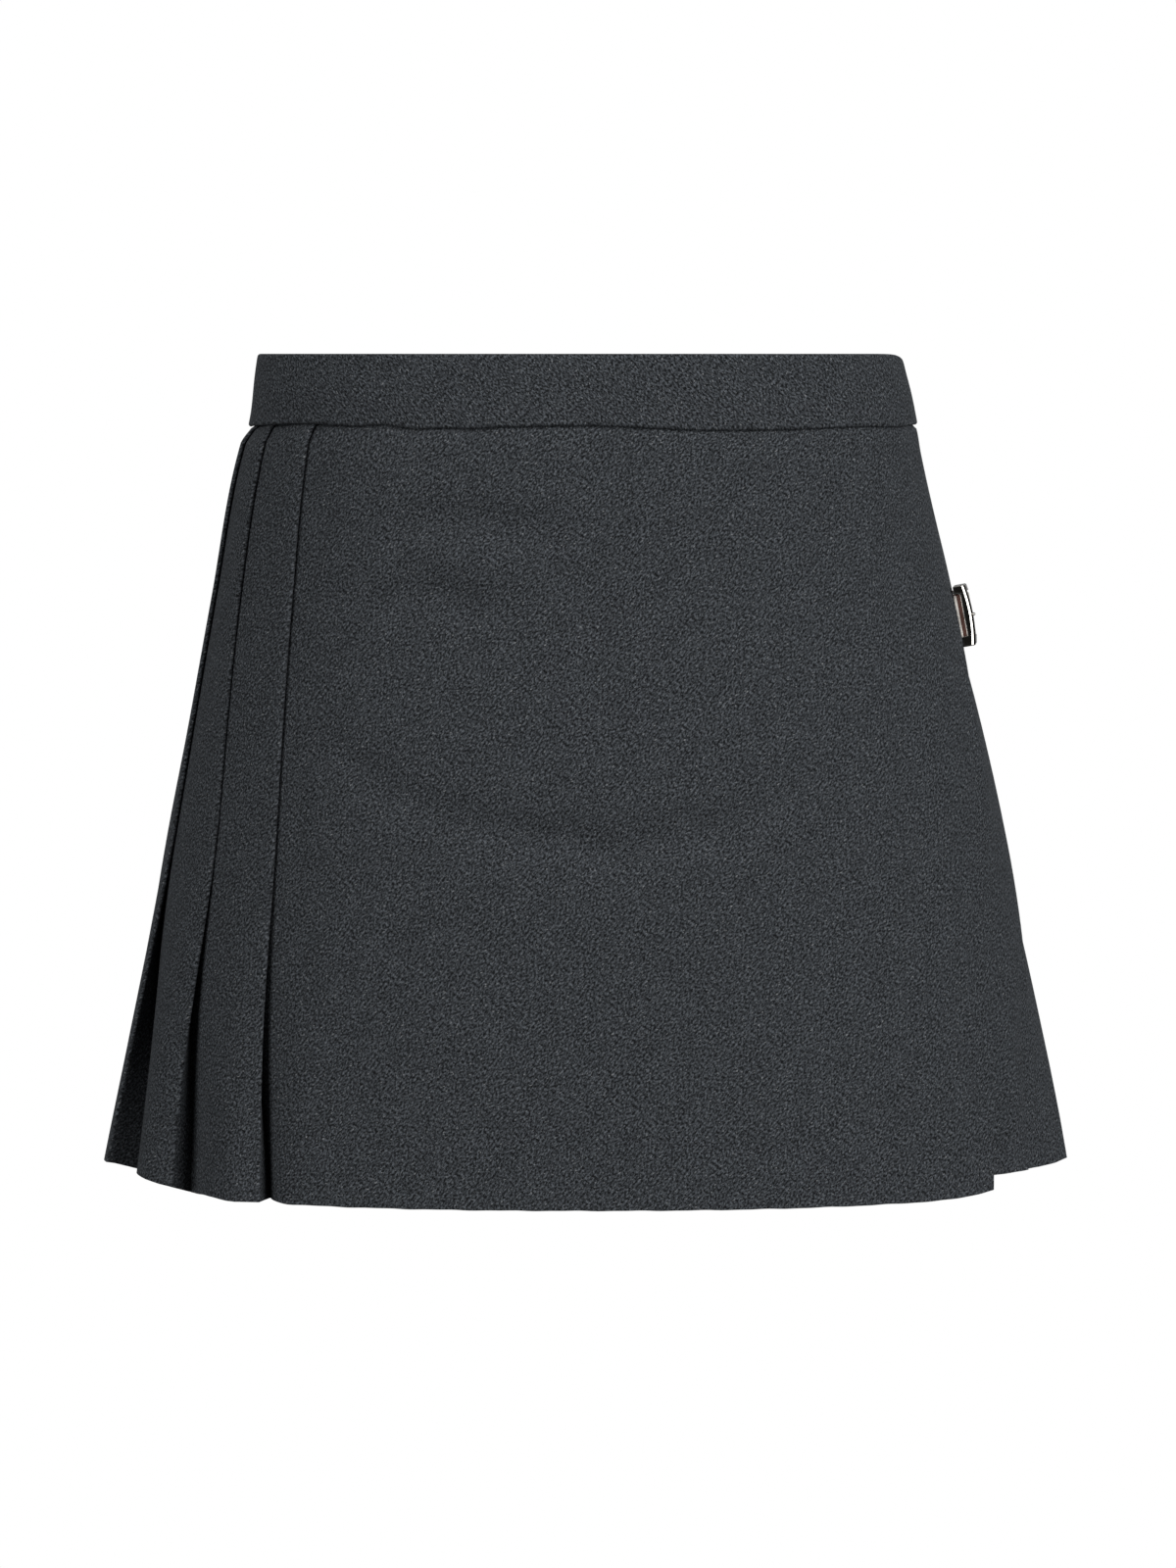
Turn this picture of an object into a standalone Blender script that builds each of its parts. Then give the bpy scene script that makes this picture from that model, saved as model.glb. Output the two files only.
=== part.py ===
"""A wrapped mini skirt with knife pleats round the back and a strap and buckle at the right hip.

The skirt keeps the hollow form that it has when it is worn. Sizes are in millimetres and are
turned into metres as each vertex is made. +Z is up, the front faces -Y, and the origin is the
middle of the waist opening, level with the top edge of the waistband.

Every cloth piece follows the same outline. At each depth below the waist the outline is a ring,
and a place on the cloth is given by two lengths: the distance along the ring, measured from the
front centre towards the wearer's right hip (-X) and on round the back, and the offset out of it.
"""

import cmath
import math
from collections import namedtuple

import bmesh
import bpy
import numpy as np
from mathutils import Matrix, Vector

MM = 0.001

# ---------------------------------------------------------------- the body outline
# depth: below the waistband's top edge. left, right, front, back: how far the ring reaches.
# The last four columns are lengths along the ring from the front centre: towards -X to the edges
# of the first and second pleats, and towards +X to the apron's open edge and to the last fold.
Section = namedtuple("Section", "depth left right front back first_fold second_fold apron_edge last_fold")
SECTIONS = (
    Section(0.0, 143.5, 136.5, 92.0, 92.0, 124.0, 150.0, 216.0, 245.0),
    Section(31.5, 148.0, 143.0, 95.0, 96.0, 124.5, 153.0, 213.0, 245.0),
    Section(40.0, 153.0, 144.5, 97.0, 101.0, 127.0, 156.0, 211.0, 245.0),
    Section(105.0, 165.5, 160.0, 104.0, 117.0, 133.0, 166.5, 197.0, 246.0),
    Section(150.0, 174.0, 172.5, 110.0, 126.0, 136.0, 170.0, 190.5, 244.5),
    Section(200.0, 183.8, 184.0, 116.0, 133.0, 138.5, 172.5, 190.0, 240.5),
    Section(300.0, 203.0, 203.5, 126.0, 144.0, 143.5, 186.5, 185.5, 221.0),
    Section(353.0, 215.0, 214.5, 131.0, 149.0, 143.5, 190.0, 182.0, 208.5),
)
ROUNDNESS = 2.3          # exponent of the ring's superellipse
RING_SAMPLES = 1440

# ---------------------------------------------------------------- cloth
WALL = 1.1               # thickness of the wool
SEAM_GAP = 0.3           # between pieces that meet
LAYER = 1.7              # from the middle of one pressed layer to the next
FOLD_RADIUS = LAYER / 2  # of the middle of the cloth at a fold

BAND_HEIGHT = 31.2
BAND_WALL = 2.4
BAND_CHAMFER = 0.7
BAND_LAYER = BAND_WALL + 0.6
BAND_OFFSET = WALL / 2 - BAND_WALL / 2
BAND_COLUMNS = 96
BAND_DIP = 3.5           # how far the band's top edge sinks over the left hip (+X)
BAND_DIP_WIDTH = 20.0

PANEL_TOP = BAND_HEIGHT + SEAM_GAP
HEM_DEPTH = 350.5
HEM_DROOP = 8.0          # how much lower the hem hangs across the front
DROOP_FULL = 0.130       # as far as this share of the ring from the front centre
DROOP_END = 0.211        # and nothing beyond this share
HEM_FALL = 0.3           # how much lower a pleat hangs at the hem for each length that it lies in
ROW_DEPTHS = (PANEL_TOP, 40.0, 66.0, 105.0, 150.0, 200.0, 235.0, 265.0, 295.0, 323.0, HEM_DEPTH)

# ---------------------------------------------------------------- pleats
PLEATS = 16
PLEAT_CLOTH = 67.0       # cloth that one pleat takes up, the same from waist to hem
PRESSED_SPARE = 0.3      # extra room between pressed layers
OPEN_DROP = 14.0         # from a fold's crest to the bottom of the groove, at the hem
OPEN_FROM = 205.0        # depth at which the pleats start to open
FACE_STEPS = 6
BACK_STEPS = 2
FOLD_STEPS = 2

# ---------------------------------------------------------------- apron and under-apron
UNDER_LAYER = 4.2        # from the middle of the apron to the middle of the under-apron
UNDER_END = 85.0         # front centre to the under-apron's hidden end
TUCK_PRESSED = 40.0      # where the apron starts to turn in before the first fold
TUCK_OPEN = 18.0
TUCK_SPARE = 2.0
APRON_COLUMNS = 32
UNDER_COLUMNS = 30

# ---------------------------------------------------------------- strap and buckle
BUCKLE_DEPTH = 114.3     # depth of the buckle's middle
EDGE_BEVEL = 0.4
FRAME_HEIGHT = 26.7
BAR_SPAN = 17.7          # from the middle of the front bar to the middle of the rear bar
FRAME_RAIL = 3.3         # width of the frame's upper and lower rails
FRAME_LANDING = 0.7      # length over which a rail blends into a bar
FRAME_FRONT_BAR = 4.0    # width of the front bar
FRAME_OUT = 7.2          # the frame's outer face, out of the ring
FRAME_IN = 2.3           # the rails' inner face at the front bar
RAIL_END_IN = 0.2        # and at the rear bar
FRONT_BAR_IN = 3.8       # the front bar's inner face
FRAME_BOW = 0.5          # how far the middle of the front bar stands out beyond its ends
FRAME_LEAN = 10.5        # degrees that the frame leans out towards its lower end
REAR_BAR = 2.6           # width of the rear bar
REAR_BAR_WALL = 2.0      # and its thickness
REAR_BAR_OUT = 1.1       # its middle, out of the ring

PRONG_RADIUS = 0.7
PRONG_TIP_RADIUS = 0.5
PRONG_SIDES = 8
PRONG_HOOK = complex(2.5, 2.2)     # the hook's half-length and half-height round the rear bar
PRONG_SHOULDER = -2.6    # where the stem bends over the front bar, ahead of the bar's middle
PRONG_TIP = 1.2          # its end, ahead of the bar's middle
HOOK_FROM = -30          # degrees from straight ahead: the hook's open end
HOOK_TO = -270           # and its top, where the stem starts
TURN_STEP = -30

STRAP_WIDTH = 18.2
STRAP_WALL = 1.8
CHAPE_WIDTH = 16.0
CHAPE_WALL = 1.2
CHAPE_CLEAR = 0.5        # room for the rear bar inside the chape's turn
CHAPE_FROM = -90         # degrees from straight back: where the turn starts
STRIP_COLUMNS = (0.5, 0.1, -0.1, -0.5)     # places across a strip, from its lower edge up
MIDDLE_STRIP = 1         # the column of cells that holes are cut in
FLAT_FROM = 2.0          # length back at which a strip leaves the cloth's own slope
FLAT_RUN = 7.0           # and over which it comes level with the frame

# Paths of the leather strips. back: behind the apron's open edge, along the hip. out: the
# middle of the leather, out of the ring. width: share of the strip's full width.
Spot = namedtuple("Spot", "back out width")
STRAP_PATH = (
    Spot(-22.0, -2.15, 1.0), Spot(-17.0, -2.15, 1.0), Spot(-12.0, -2.15, 1.0), Spot(-7.0, -2.15, 1.0),
    Spot(-2.0, -2.15, 1.0), Spot(3.0, -2.15, 1.0), Spot(6.6, -1.8, 1.0), Spot(9.2, -0.4, 1.0),
    Spot(11.6, 1.7, 1.0), Spot(14.0, 3.9, 1.0), Spot(16.0, 5.1, 1.0), Spot(18.0, 5.5, 1.0),
    Spot(22.0, 4.75, 1.0), Spot(26.0, 3.55, 1.0), Spot(31.0, 2.9, 1.0), Spot(37.0, 2.7, 1.0),
    Spot(46.0, 2.6, 1.0), Spot(54.0, 2.6, 1.0), Spot(58.0, 2.6, 0.88), Spot(61.0, 2.6, 0.6),
    Spot(62.5, 2.6, 0.25),
)
STRAP_HOLE = (11.6, 18.0)     # the prong's hole, as lengths back
CHAPE_UNDER = (
    Spot(45.0, -0.5, 1.0), Spot(35.0, -0.5, 1.0), Spot(27.0, -0.5, 1.0), Spot(21.5, -0.65, 1.0),
)
CHAPE_OVER = (
    Spot(21.5, 2.75, 1.0), Spot(25.5, 1.8, 1.0), Spot(29.5, 1.15, 1.0), Spot(34.0, 0.92, 1.0),
    Spot(40.0, 0.9, 1.0), Spot(45.0, 0.9, 1.0),
)
CHAPE_SLOT_END = 23.5         # length back at which the prong's slot ends


# ---------------------------------------------------------------- helpers
def lerp(first, second, share):
    """Straight mix of two values."""
    return first + (second - first) * share


def smooth_step(share):
    """0 to 1 with level ends, for a share that may lie outside 0 to 1."""
    share = min(max(share, 0.0), 1.0)
    return share * share * (3.0 - 2.0 * share)


def section_at(depth):
    """The outline's sizes at a depth, on a smooth curve that never overshoots the table."""
    depths = [row.depth for row in SECTIONS]
    depth = min(max(depth, depths[0]), depths[-1])
    index = min(max(np.searchsorted(depths, depth) - 1, 0), len(depths) - 2)
    span = depths[index + 1] - depths[index]
    share = (depth - depths[index]) / span
    values = [depth]
    for column in Section._fields[1:]:
        heights = [getattr(row, column) for row in SECTIONS]
        slopes = [(heights[k + 1] - heights[k]) / (depths[k + 1] - depths[k])
                  for k in range(len(depths) - 1)]
        values.append(hermite(heights, slopes, index, span, share))
    return Section(*values)


def hermite(heights, slopes, index, span, share):
    """Value inside one interval of a monotone cubic through the heights."""
    first = knot_slope(slopes, index)
    second = knot_slope(slopes, index + 1)
    square = share * share
    cube = square * share
    return ((2 * cube - 3 * square + 1) * heights[index] + (cube - 2 * square + share) * span * first
            + (3 * square - 2 * cube) * heights[index + 1] + (cube - square) * span * second)


def knot_slope(slopes, index):
    """Slope at a row of the table: none at a turning point, else the neighbours' harmonic mean."""
    if index == 0:
        return slopes[0]
    if index == len(slopes):
        return slopes[-1]
    before = slopes[index - 1]
    after = slopes[index]
    if before * after <= 0.0:
        return 0.0
    return 2.0 * before * after / (before + after)


class Ring:
    """The body outline at one depth, addressed by the length along it."""

    def __init__(self, depth):
        self.depth = depth
        self.section = section_at(depth)
        turn = np.linspace(0.0, 2.0 * math.pi, RING_SAMPLES + 1)
        across = -np.sin(turn)
        along = -np.cos(turn)
        side = np.where(across < 0.0, self.section.left, self.section.right)
        reach = np.where(along < 0.0, self.section.front, self.section.back)
        total = np.abs(across / side) ** ROUNDNESS + np.abs(along / reach) ** ROUNDNESS
        radius = total ** (-1.0 / ROUNDNESS)
        self.x = across * radius
        self.y = along * radius
        steps = np.hypot(np.diff(self.x), np.diff(self.y))
        self.lengths = np.concatenate(([0.0], np.cumsum(steps)))
        self.perimeter = float(self.lengths[-1])
        slope_x = np.gradient(self.x[:-1].tolist() + [self.x[0]])
        slope_y = np.gradient(self.y[:-1].tolist() + [self.y[0]])
        slope_x[0] = slope_x[-1] = self.x[1] - self.x[-2]
        slope_y[0] = slope_y[-1] = self.y[1] - self.y[-2]
        norm = np.hypot(slope_x, slope_y)
        self.out_x = -slope_y / norm
        self.out_y = slope_x / norm

    def point(self, length, offset, lift=0.0):
        """The place in space, in metres, of a length along the ring and an offset out of it."""
        length = length % self.perimeter
        out_x = np.interp(length, self.lengths, self.out_x)
        out_y = np.interp(length, self.lengths, self.out_y)
        x = np.interp(length, self.lengths, self.x) + out_x * offset
        y = np.interp(length, self.lengths, self.y) + out_y * offset
        return Vector((x, y, lift - self.depth)) * MM


def right_extreme(ring):
    """Length along the ring of its outermost point on +X."""
    return float(ring.lengths[int(np.argmax(ring.x))])


def front_droop(ring, length):
    """How much lower the hem hangs here than at the sides and the back."""
    share = (length / ring.perimeter) % 1.0
    share = min(share, 1.0 - share)
    return HEM_DROOP * smooth_step((DROOP_END - share) / (DROOP_END - DROOP_FULL))


# ---------------------------------------------------------------- pleats as cloth round pegs
class Folds:
    """The pleats' folds at one depth.

    Each fold is a small peg in the plane of length (real part) and offset (imaginary part). The
    cloth runs round an outer peg, whose fold shows, and then round an inner peg, which the next
    pleat hides. The pegs' places follow from the pitch and from the cloth that a pleat takes up.
    """

    def __init__(self, ring):
        self.first = ring.section.first_fold
        self.second = ring.section.second_fold
        self.last = ring.perimeter - ring.section.last_fold
        self.pitch = (self.last - self.second) / (PLEATS - 1)
        self.opening = smooth_step((ring.depth - OPEN_FROM) / (HEM_DEPTH - OPEN_FROM))
        self.tuck = lerp(TUCK_PRESSED, TUCK_OPEN, self.opening)
        pressed_underlap = (PLEAT_CLOTH - self.pitch) / 2.0
        stack = (2.0 * LAYER + PRESSED_SPARE) * (self.pitch + pressed_underlap) / self.pitch
        self.drop = lerp(stack, OPEN_DROP, self.opening)
        self.underlap = self.underlap_for(self.drop)

    def underlap_for(self, drop):
        """How far the groove's bottom lies under the next fold, for a pleat of constant cloth."""
        ratio = self.pitch / PLEAT_CLOTH
        spare = (PLEAT_CLOTH - self.pitch * ratio) / 2.0
        inside = (spare * ratio) ** 2 + (1.0 - ratio * ratio) * (spare * spare - drop * drop)
        return (math.sqrt(max(inside, 0.0)) - spare * ratio) / (1.0 - ratio * ratio)

    def crest(self, number):
        """Offset of the cloth's middle at an outer fold: each lies deeper, as a wrap does."""
        return -BAND_LAYER * max(number - 1, 0) / PLEATS

    def place(self, number):
        """Length along the ring of an outer fold: the second and the last are set, the rest are even."""
        if number < 2:
            return self.first
        return self.second + self.pitch * (number - 2)

    def outer_peg(self, number):
        """Middle of the peg of an outer fold."""
        return complex(self.place(number), self.crest(number) - FOLD_RADIUS)

    def inner_peg(self, number):
        """Middle of the peg of the inner fold that follows an outer one."""
        drop = self.drop + (TUCK_SPARE if number == 0 else 0.0)
        return complex(self.place(number + 1) + self.underlap, self.crest(number) - drop + FOLD_RADIUS)

    def apron_angle(self):
        """Direction in which the apron reaches the inner fold that follows it."""
        fall = self.inner_peg(0).imag - FOLD_RADIUS
        return math.atan(2.0 * fall / (self.tuck + self.underlap))

    def face_angle(self, number):
        """Direction of a pleat's face, from its outer peg to its inner peg."""
        if number == 0:
            return self.apron_angle()
        run = self.inner_peg(number) - self.outer_peg(number)
        return cmath.phase(run) - math.asin(2.0 * FOLD_RADIUS / abs(run))

    def back_angle(self, number):
        """Direction of the hidden return that leads to an outer peg."""
        run = self.outer_peg(number) - self.inner_peg(number - 1)
        angle = cmath.phase(run) + math.asin(2.0 * FOLD_RADIUS / abs(run))
        return angle % (2.0 * math.pi)

    def inner_turn(self, number, face_angle):
        """Cloth round an inner peg, from a face's direction to the next return's."""
        peg = self.inner_peg(number)
        return turn_round(peg, -FOLD_RADIUS, face_angle, self.back_angle(number + 1))

    def outer_turn(self, number, face_angle):
        """Cloth round an outer peg, from a return's direction to a face's."""
        peg = self.outer_peg(number)
        return turn_round(peg, FOLD_RADIUS, self.back_angle(number), face_angle)


def left_of(angle):
    """Unit step to the left of a direction."""
    return complex(-math.sin(angle), math.cos(angle))


def turn_round(peg, radius, start, end):
    """Places and directions round a peg that lies left (radius below 0) or right of the cloth."""
    angles = [lerp(start, end, step / FOLD_STEPS) for step in range(FOLD_STEPS + 1)]
    return [(peg + radius * left_of(angle), angle) for angle in angles]


def stretch(start, end, steps):
    """Places strictly between two places on straight cloth."""
    angle = cmath.phase(end - start)
    return [(lerp(start, end, step / steps), angle) for step in range(1, steps)]


def pleated_row(ring):
    """The pleated panel's cloth at one depth: from the first inner fold to before the last."""
    folds = Folds(ring)
    row = folds.inner_turn(0, folds.face_angle(0))
    for number in range(1, PLEATS + 1):
        face = folds.face_angle(number)
        outer = folds.outer_turn(number, face)
        row += stretch(row[-1][0], outer[0][0], BACK_STEPS)
        row += outer
        if number < PLEATS:
            inner = folds.inner_turn(number, face)
            row += stretch(row[-1][0], inner[0][0], FACE_STEPS)
            row += inner
    seam = folds.inner_peg(PLEATS) - FOLD_RADIUS * left_of(face) - cmath.rect(SEAM_GAP, face)
    row += stretch(row[-1][0], seam, FACE_STEPS)
    row.append((seam, face))
    return row


def apron_row(ring):
    """The apron's cloth at one depth: from its open edge to the seam inside the first pleat."""
    folds = Folds(ring)
    seam_angle = folds.apron_angle()
    seam = folds.inner_peg(0) - FOLD_RADIUS * left_of(seam_angle) - cmath.rect(SEAM_GAP, seam_angle)
    start = -ring.section.apron_edge
    bend = folds.first - folds.tuck
    row = []
    for column in range(APRON_COLUMNS + 1):
        length = lerp(start, seam.real, column / APRON_COLUMNS)
        share = max(0.0, (length - bend) / (seam.real - bend))
        offset = seam.imag * share * share
        slope = 2.0 * seam.imag * share / (seam.real - bend)
        row.append((complex(length, offset), math.atan(slope)))
    return row


def under_row(ring):
    """The under-apron's cloth at one depth: the last fold and the plain panel beneath the apron."""
    folds = Folds(ring)
    last = PLEATS + 1
    row = folds.inner_turn(PLEATS, folds.face_angle(PLEATS))
    outer = folds.outer_turn(last, 0.0)
    row += stretch(row[-1][0], outer[0][0], BACK_STEPS)
    row += outer
    start = row[-1][0]
    end = ring.perimeter + UNDER_END
    strip = ring.section.last_fold - ring.section.apron_edge
    for column in range(1, UNDER_COLUMNS + 1):
        length = lerp(start.real, end, column / UNDER_COLUMNS)
        share = smooth_step((length - start.real) / strip)
        row.append((complex(length, lerp(start.imag, -UNDER_LAYER, share)), 0.0))
    return row


def hem_lift(ring, place):
    """How far the front's droop and the pleats' own fall move a place on the cloth, below 0 for down.

    The fall fades out at the first and the last fold, where plain panels join the pleats.
    """
    share = (ring.depth - PANEL_TOP) / (HEM_DEPTH - PANEL_TOP)
    first = ring.section.first_fold
    last = ring.perimeter - ring.section.last_fold
    inside = min(place.real - first, last - place.real) / (ring.section.second_fold - first)
    fall = HEM_FALL * min(max(inside, 0.0), 1.0) * max(-place.imag, 0.0)
    return -(front_droop(ring, place.real) + fall) * share


def cloth_grids(row_function, droops=True):
    """Outer and inner points of a cloth wall, row by row down the panel."""
    outer = []
    inner = []
    for depth in ROW_DEPTHS:
        ring = Ring(depth)
        outer_row = []
        inner_row = []
        for place, angle in row_function(ring):
            half = left_of(angle) * WALL / 2.0
            lift = hem_lift(ring, place) if droops else 0.0
            outer_row.append(ring.point((place + half).real, (place + half).imag, lift))
            inner_row.append(ring.point((place - half).real, (place - half).imag, lift))
        outer.append(outer_row)
        inner.append(inner_row)
    return outer, inner


# ---------------------------------------------------------------- solids
def material(name, colour, roughness, metallic=0.0):
    """A plain Principled material."""
    made = bpy.data.materials.new(name)
    made.use_nodes = True
    shader = made.node_tree.nodes["Principled BSDF"]
    shader.inputs["Base Color"].default_value = (*colour, 1.0)
    shader.inputs["Roughness"].default_value = roughness
    shader.inputs["Metallic"].default_value = metallic
    return made


def add_object(name, mesh_data, finish):
    """Put a bmesh into the scene as a named object with one material."""
    mesh = bpy.data.meshes.new(name)
    mesh_data.to_mesh(mesh)
    mesh_data.free()
    mesh.materials.append(finish)
    made = bpy.data.objects.new(name, mesh)
    bpy.context.scene.collection.objects.link(made)
    return made


def cut_cell(grid, row, column):
    """The two triangles of a grid's cell as (row, column) corners, cut along its shorter diagonal."""
    loop = ((row, column), (row, column + 1), (row + 1, column + 1), (row + 1, column))
    falling = (grid[row][column] - grid[row + 1][column + 1]).length
    rising = (grid[row][column + 1] - grid[row + 1][column]).length
    if rising < falling:
        loop = loop[1:] + loop[:1]
    return loop[:3], (loop[0], loop[2], loop[3])


def wall_mesh(outer, inner, present=None):
    """A closed wall between two grids of points, open wherever present says a cell is missing.

    Rows run down and columns run so that the outer grid faces out. Both sides of a cell are cut
    along the same diagonal, so that the wall keeps its thickness.
    """
    present = present or (lambda row, column: True)
    grids = (outer, inner)
    made = bmesh.new()
    corners = {}

    def vertex(side, corner):
        if (side, corner) not in corners:
            corners[side, corner] = made.verts.new(grids[side][corner[0]][corner[1]])
        return corners[side, corner]

    def is_there(row, column):
        inside = 0 <= row < len(outer) - 1 and 0 <= column < len(outer[0]) - 1
        return inside and present(row, column)

    for row in range(len(outer) - 1):
        for column in range(len(outer[0]) - 1):
            if not is_there(row, column):
                continue
            for triangle in cut_cell(outer, row, column):
                made.faces.new([vertex(0, corner) for corner in triangle])
                made.faces.new([vertex(1, corner) for corner in reversed(triangle)])
            loop = ((row, column), (row, column + 1), (row + 1, column + 1), (row + 1, column))
            neighbours = ((row - 1, column), (row, column + 1), (row + 1, column), (row, column - 1))
            for step, neighbour in enumerate(neighbours):
                if not is_there(*neighbour):
                    start = loop[step]
                    end = loop[(step + 1) % len(loop)]
                    made.faces.new((vertex(0, end), vertex(0, start), vertex(1, start), vertex(1, end)))
    made.normal_update()
    return made


def build_panels(wool):
    """The apron, the pleated panel and the under-apron."""
    add_object("apron", wall_mesh(*cloth_grids(apron_row)), wool)
    add_object("pleated_panel", wall_mesh(*cloth_grids(pleated_row)), wool)
    add_object("under_apron", wall_mesh(*cloth_grids(under_row, droops=False)), wool)


def band_profile():
    """Height below the top edge and offset from the band's middle, down the outside and the inside."""
    half = BAND_WALL / 2.0
    corner = half - BAND_CHAMFER
    outside = ((0.0, corner), (BAND_CHAMFER, half), (BAND_HEIGHT / 2, half),
               (BAND_HEIGHT - BAND_CHAMFER, half), (BAND_HEIGHT, corner))
    return outside, [(depth, -offset) for depth, offset in outside]


def build_waistband(wool):
    """One strip that starts at the apron's open edge, goes round, and ends under itself in front."""
    outside, inside = band_profile()
    grids = []
    for profile in (outside, inside):
        grid = []
        for depth, side in profile:
            ring = Ring(depth)
            folds = Folds(Ring(PANEL_TOP))
            hip = right_extreme(ring)
            row = []
            for column in range(BAND_COLUMNS + 1):
                length = lerp(-ring.section.apron_edge, ring.perimeter + UNDER_END, column / BAND_COLUMNS)
                wrap = (length - folds.first) / (folds.last - folds.first)
                sink = BAND_LAYER * min(max(wrap, 0.0), 1.0)
                away = ((length % ring.perimeter) - hip) / BAND_DIP_WIDTH
                dip = BAND_DIP * math.exp(-away * away) * (1.0 - depth / BAND_HEIGHT)
                row.append(ring.point(length, BAND_OFFSET - sink + side, -dip))
            grid.append(row)
        grids.append(grid)
    add_object("waistband", wall_mesh(*grids), wool)


# ---------------------------------------------------------------- strap and buckle
class BuckleSeat:
    """Where the buckle sits: lengths run back from the apron's open edge, and out of the ring."""

    def __init__(self):
        self.ring = Ring(BUCKLE_DEPTH)
        self.edge = self.ring.perimeter - self.ring.section.apron_edge
        self.past_hip = self.edge - right_extreme(self.ring)
        self.lean = math.radians(FRAME_LEAN)

    def level_out(self, back):
        """Level unit step out of the ring."""
        length = self.edge - back
        return (self.ring.point(length, 1.0) - self.ring.point(length, 0.0)).normalized()

    def cloth_point(self, back, offset, down):
        """A place that keeps to the hip's own surface; down is below the buckle's middle."""
        ring = Ring(BUCKLE_DEPTH + down)
        return ring.point(right_extreme(ring) + self.past_hip - back, offset)

    def leaning_axes(self, level_out):
        """Steps out of the leather and down it, for a level step out."""
        rise = Vector((0.0, 0.0, 1.0))
        cosine = math.cos(self.lean)
        sine = math.sin(self.lean)
        return level_out * cosine + rise * sine, level_out * sine - rise * cosine

    def strip_point(self, back, offset, down):
        """A place on a leather strip: on the cloth under the apron, and level with the frame past it."""
        out, fall = self.leaning_axes(self.level_out(back))
        flat = self.ring.point(self.edge - back, 0.0) + (out * offset + fall * down) * MM
        on_cloth = self.cloth_point(back, offset, down * math.cos(self.lean))
        return on_cloth.lerp(flat, smooth_step((back - FLAT_FROM) / FLAT_RUN))

    def matrix(self):
        """The frame's own axes: X forward along the hip, Y out, Z up, midway between its bars."""
        front = self.ring.point(self.edge, 0.0)
        rear = self.ring.point(self.edge - BAR_SPAN, 0.0)
        forward = (front - rear).normalized()
        out, fall = self.leaning_axes(Vector((-forward.y, forward.x, 0.0)))
        axes = Matrix((forward, out, -fall)).transposed()
        return Matrix.Translation((front + rear) / 2.0) @ axes.to_4x4()


def build_frame(seat, steel):
    """The rectangular frame: deep rails, a raised front bar and a slim rear bar."""
    middle = BAR_SPAN / 2.0
    stations = (middle + FRAME_FRONT_BAR / 2.0, middle - FRAME_FRONT_BAR / 2.0,
                REAR_BAR / 2.0 - middle, -REAR_BAR / 2.0 - middle)
    half = FRAME_HEIGHT / 2.0
    window = half - FRAME_RAIL
    landing = window - FRAME_LANDING
    heights = (-half, -window, -landing, 0.0, landing, window, half)
    outer = []
    inner = []
    for height in heights:
        on_rail = abs(height) >= window
        bar_out = FRAME_OUT if on_rail else REAR_BAR_OUT + REAR_BAR_WALL / 2.0
        bar_in = RAIL_END_IN if on_rail else REAR_BAR_OUT - REAR_BAR_WALL / 2.0
        bow = FRAME_BOW * (1.0 - (height / half) ** 2)
        front_out = FRAME_OUT + bow
        front_in = FRAME_IN if on_rail else FRONT_BAR_IN + bow
        outs = (front_out, front_out, bar_out, bar_out)
        ins = (front_in, front_in, bar_in, bar_in)
        outer.append([Vector((ahead, out, height)) * MM for ahead, out in zip(stations, outs)])
        inner.append([Vector((ahead, out, height)) * MM for ahead, out in zip(stations, ins)])
    rails = (0, len(heights) - 2)
    made = wall_mesh(outer, inner, lambda row, column: row in rails or column != 1)
    sharp = [edge for edge in made.edges if edge.is_convex and edge.calc_face_angle() > math.radians(50.0)]
    bmesh.ops.bevel(made, geom=sharp, offset=EDGE_BEVEL * MM, offset_type="OFFSET", segments=1,
                    profile=0.5, affect="EDGES", material=-1)
    frame = add_object("buckle_frame", made, steel)
    frame.matrix_world = seat.matrix()


def tube_mesh(places, radii, sides):
    """A closed round rod through places that all lie in the plane of the frame's X and Y."""
    made = bmesh.new()
    rings = []
    for index, (place, radius) in enumerate(zip(places, radii)):
        before = places[max(index - 1, 0)]
        after = places[min(index + 1, len(places) - 1)]
        along = (after - before) / abs(after - before)
        across = along * 1j
        ring = []
        for side in range(sides):
            turn = 2.0 * math.pi * side / sides
            spot = place + across * radius * math.cos(turn)
            ring.append(made.verts.new(Vector((spot.real, spot.imag, radius * math.sin(turn))) * MM))
        rings.append(ring)
    for first, second in zip(rings, rings[1:]):
        for side in range(sides):
            after = (side + 1) % sides
            made.faces.new((first[side], first[after], second[after], second[side]))
    made.faces.new(rings[0])
    made.faces.new(list(reversed(rings[-1])))
    bmesh.ops.recalc_face_normals(made, faces=made.faces)
    return made


def ellipse(middle, half_axes, start, end):
    """Places round a turn, from one angle in degrees to another."""
    turns = [math.radians(degrees) for degrees in range(start, end + TURN_STEP, TURN_STEP)]
    return [middle + complex(half_axes.real * math.cos(turn), half_axes.imag * math.sin(turn))
            for turn in turns]


def build_prong(seat, steel):
    """The tongue: a hook round the rear bar, and a stem that rises to the front bar and lies on it."""
    hook = ellipse(complex(-BAR_SPAN / 2.0, REAR_BAR_OUT), PRONG_HOOK, HOOK_FROM, HOOK_TO)
    above_bar = complex(BAR_SPAN / 2.0, FRAME_OUT + FRAME_BOW + SEAM_GAP + PRONG_RADIUS)
    places = hook + [above_bar + PRONG_SHOULDER, above_bar + PRONG_TIP]
    radii = [PRONG_RADIUS] * (len(places) - 1) + [PRONG_TIP_RADIUS]
    prong = add_object("buckle_prong", tube_mesh(places, radii, PRONG_SIDES), steel)
    prong.matrix_world = seat.matrix()


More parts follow.
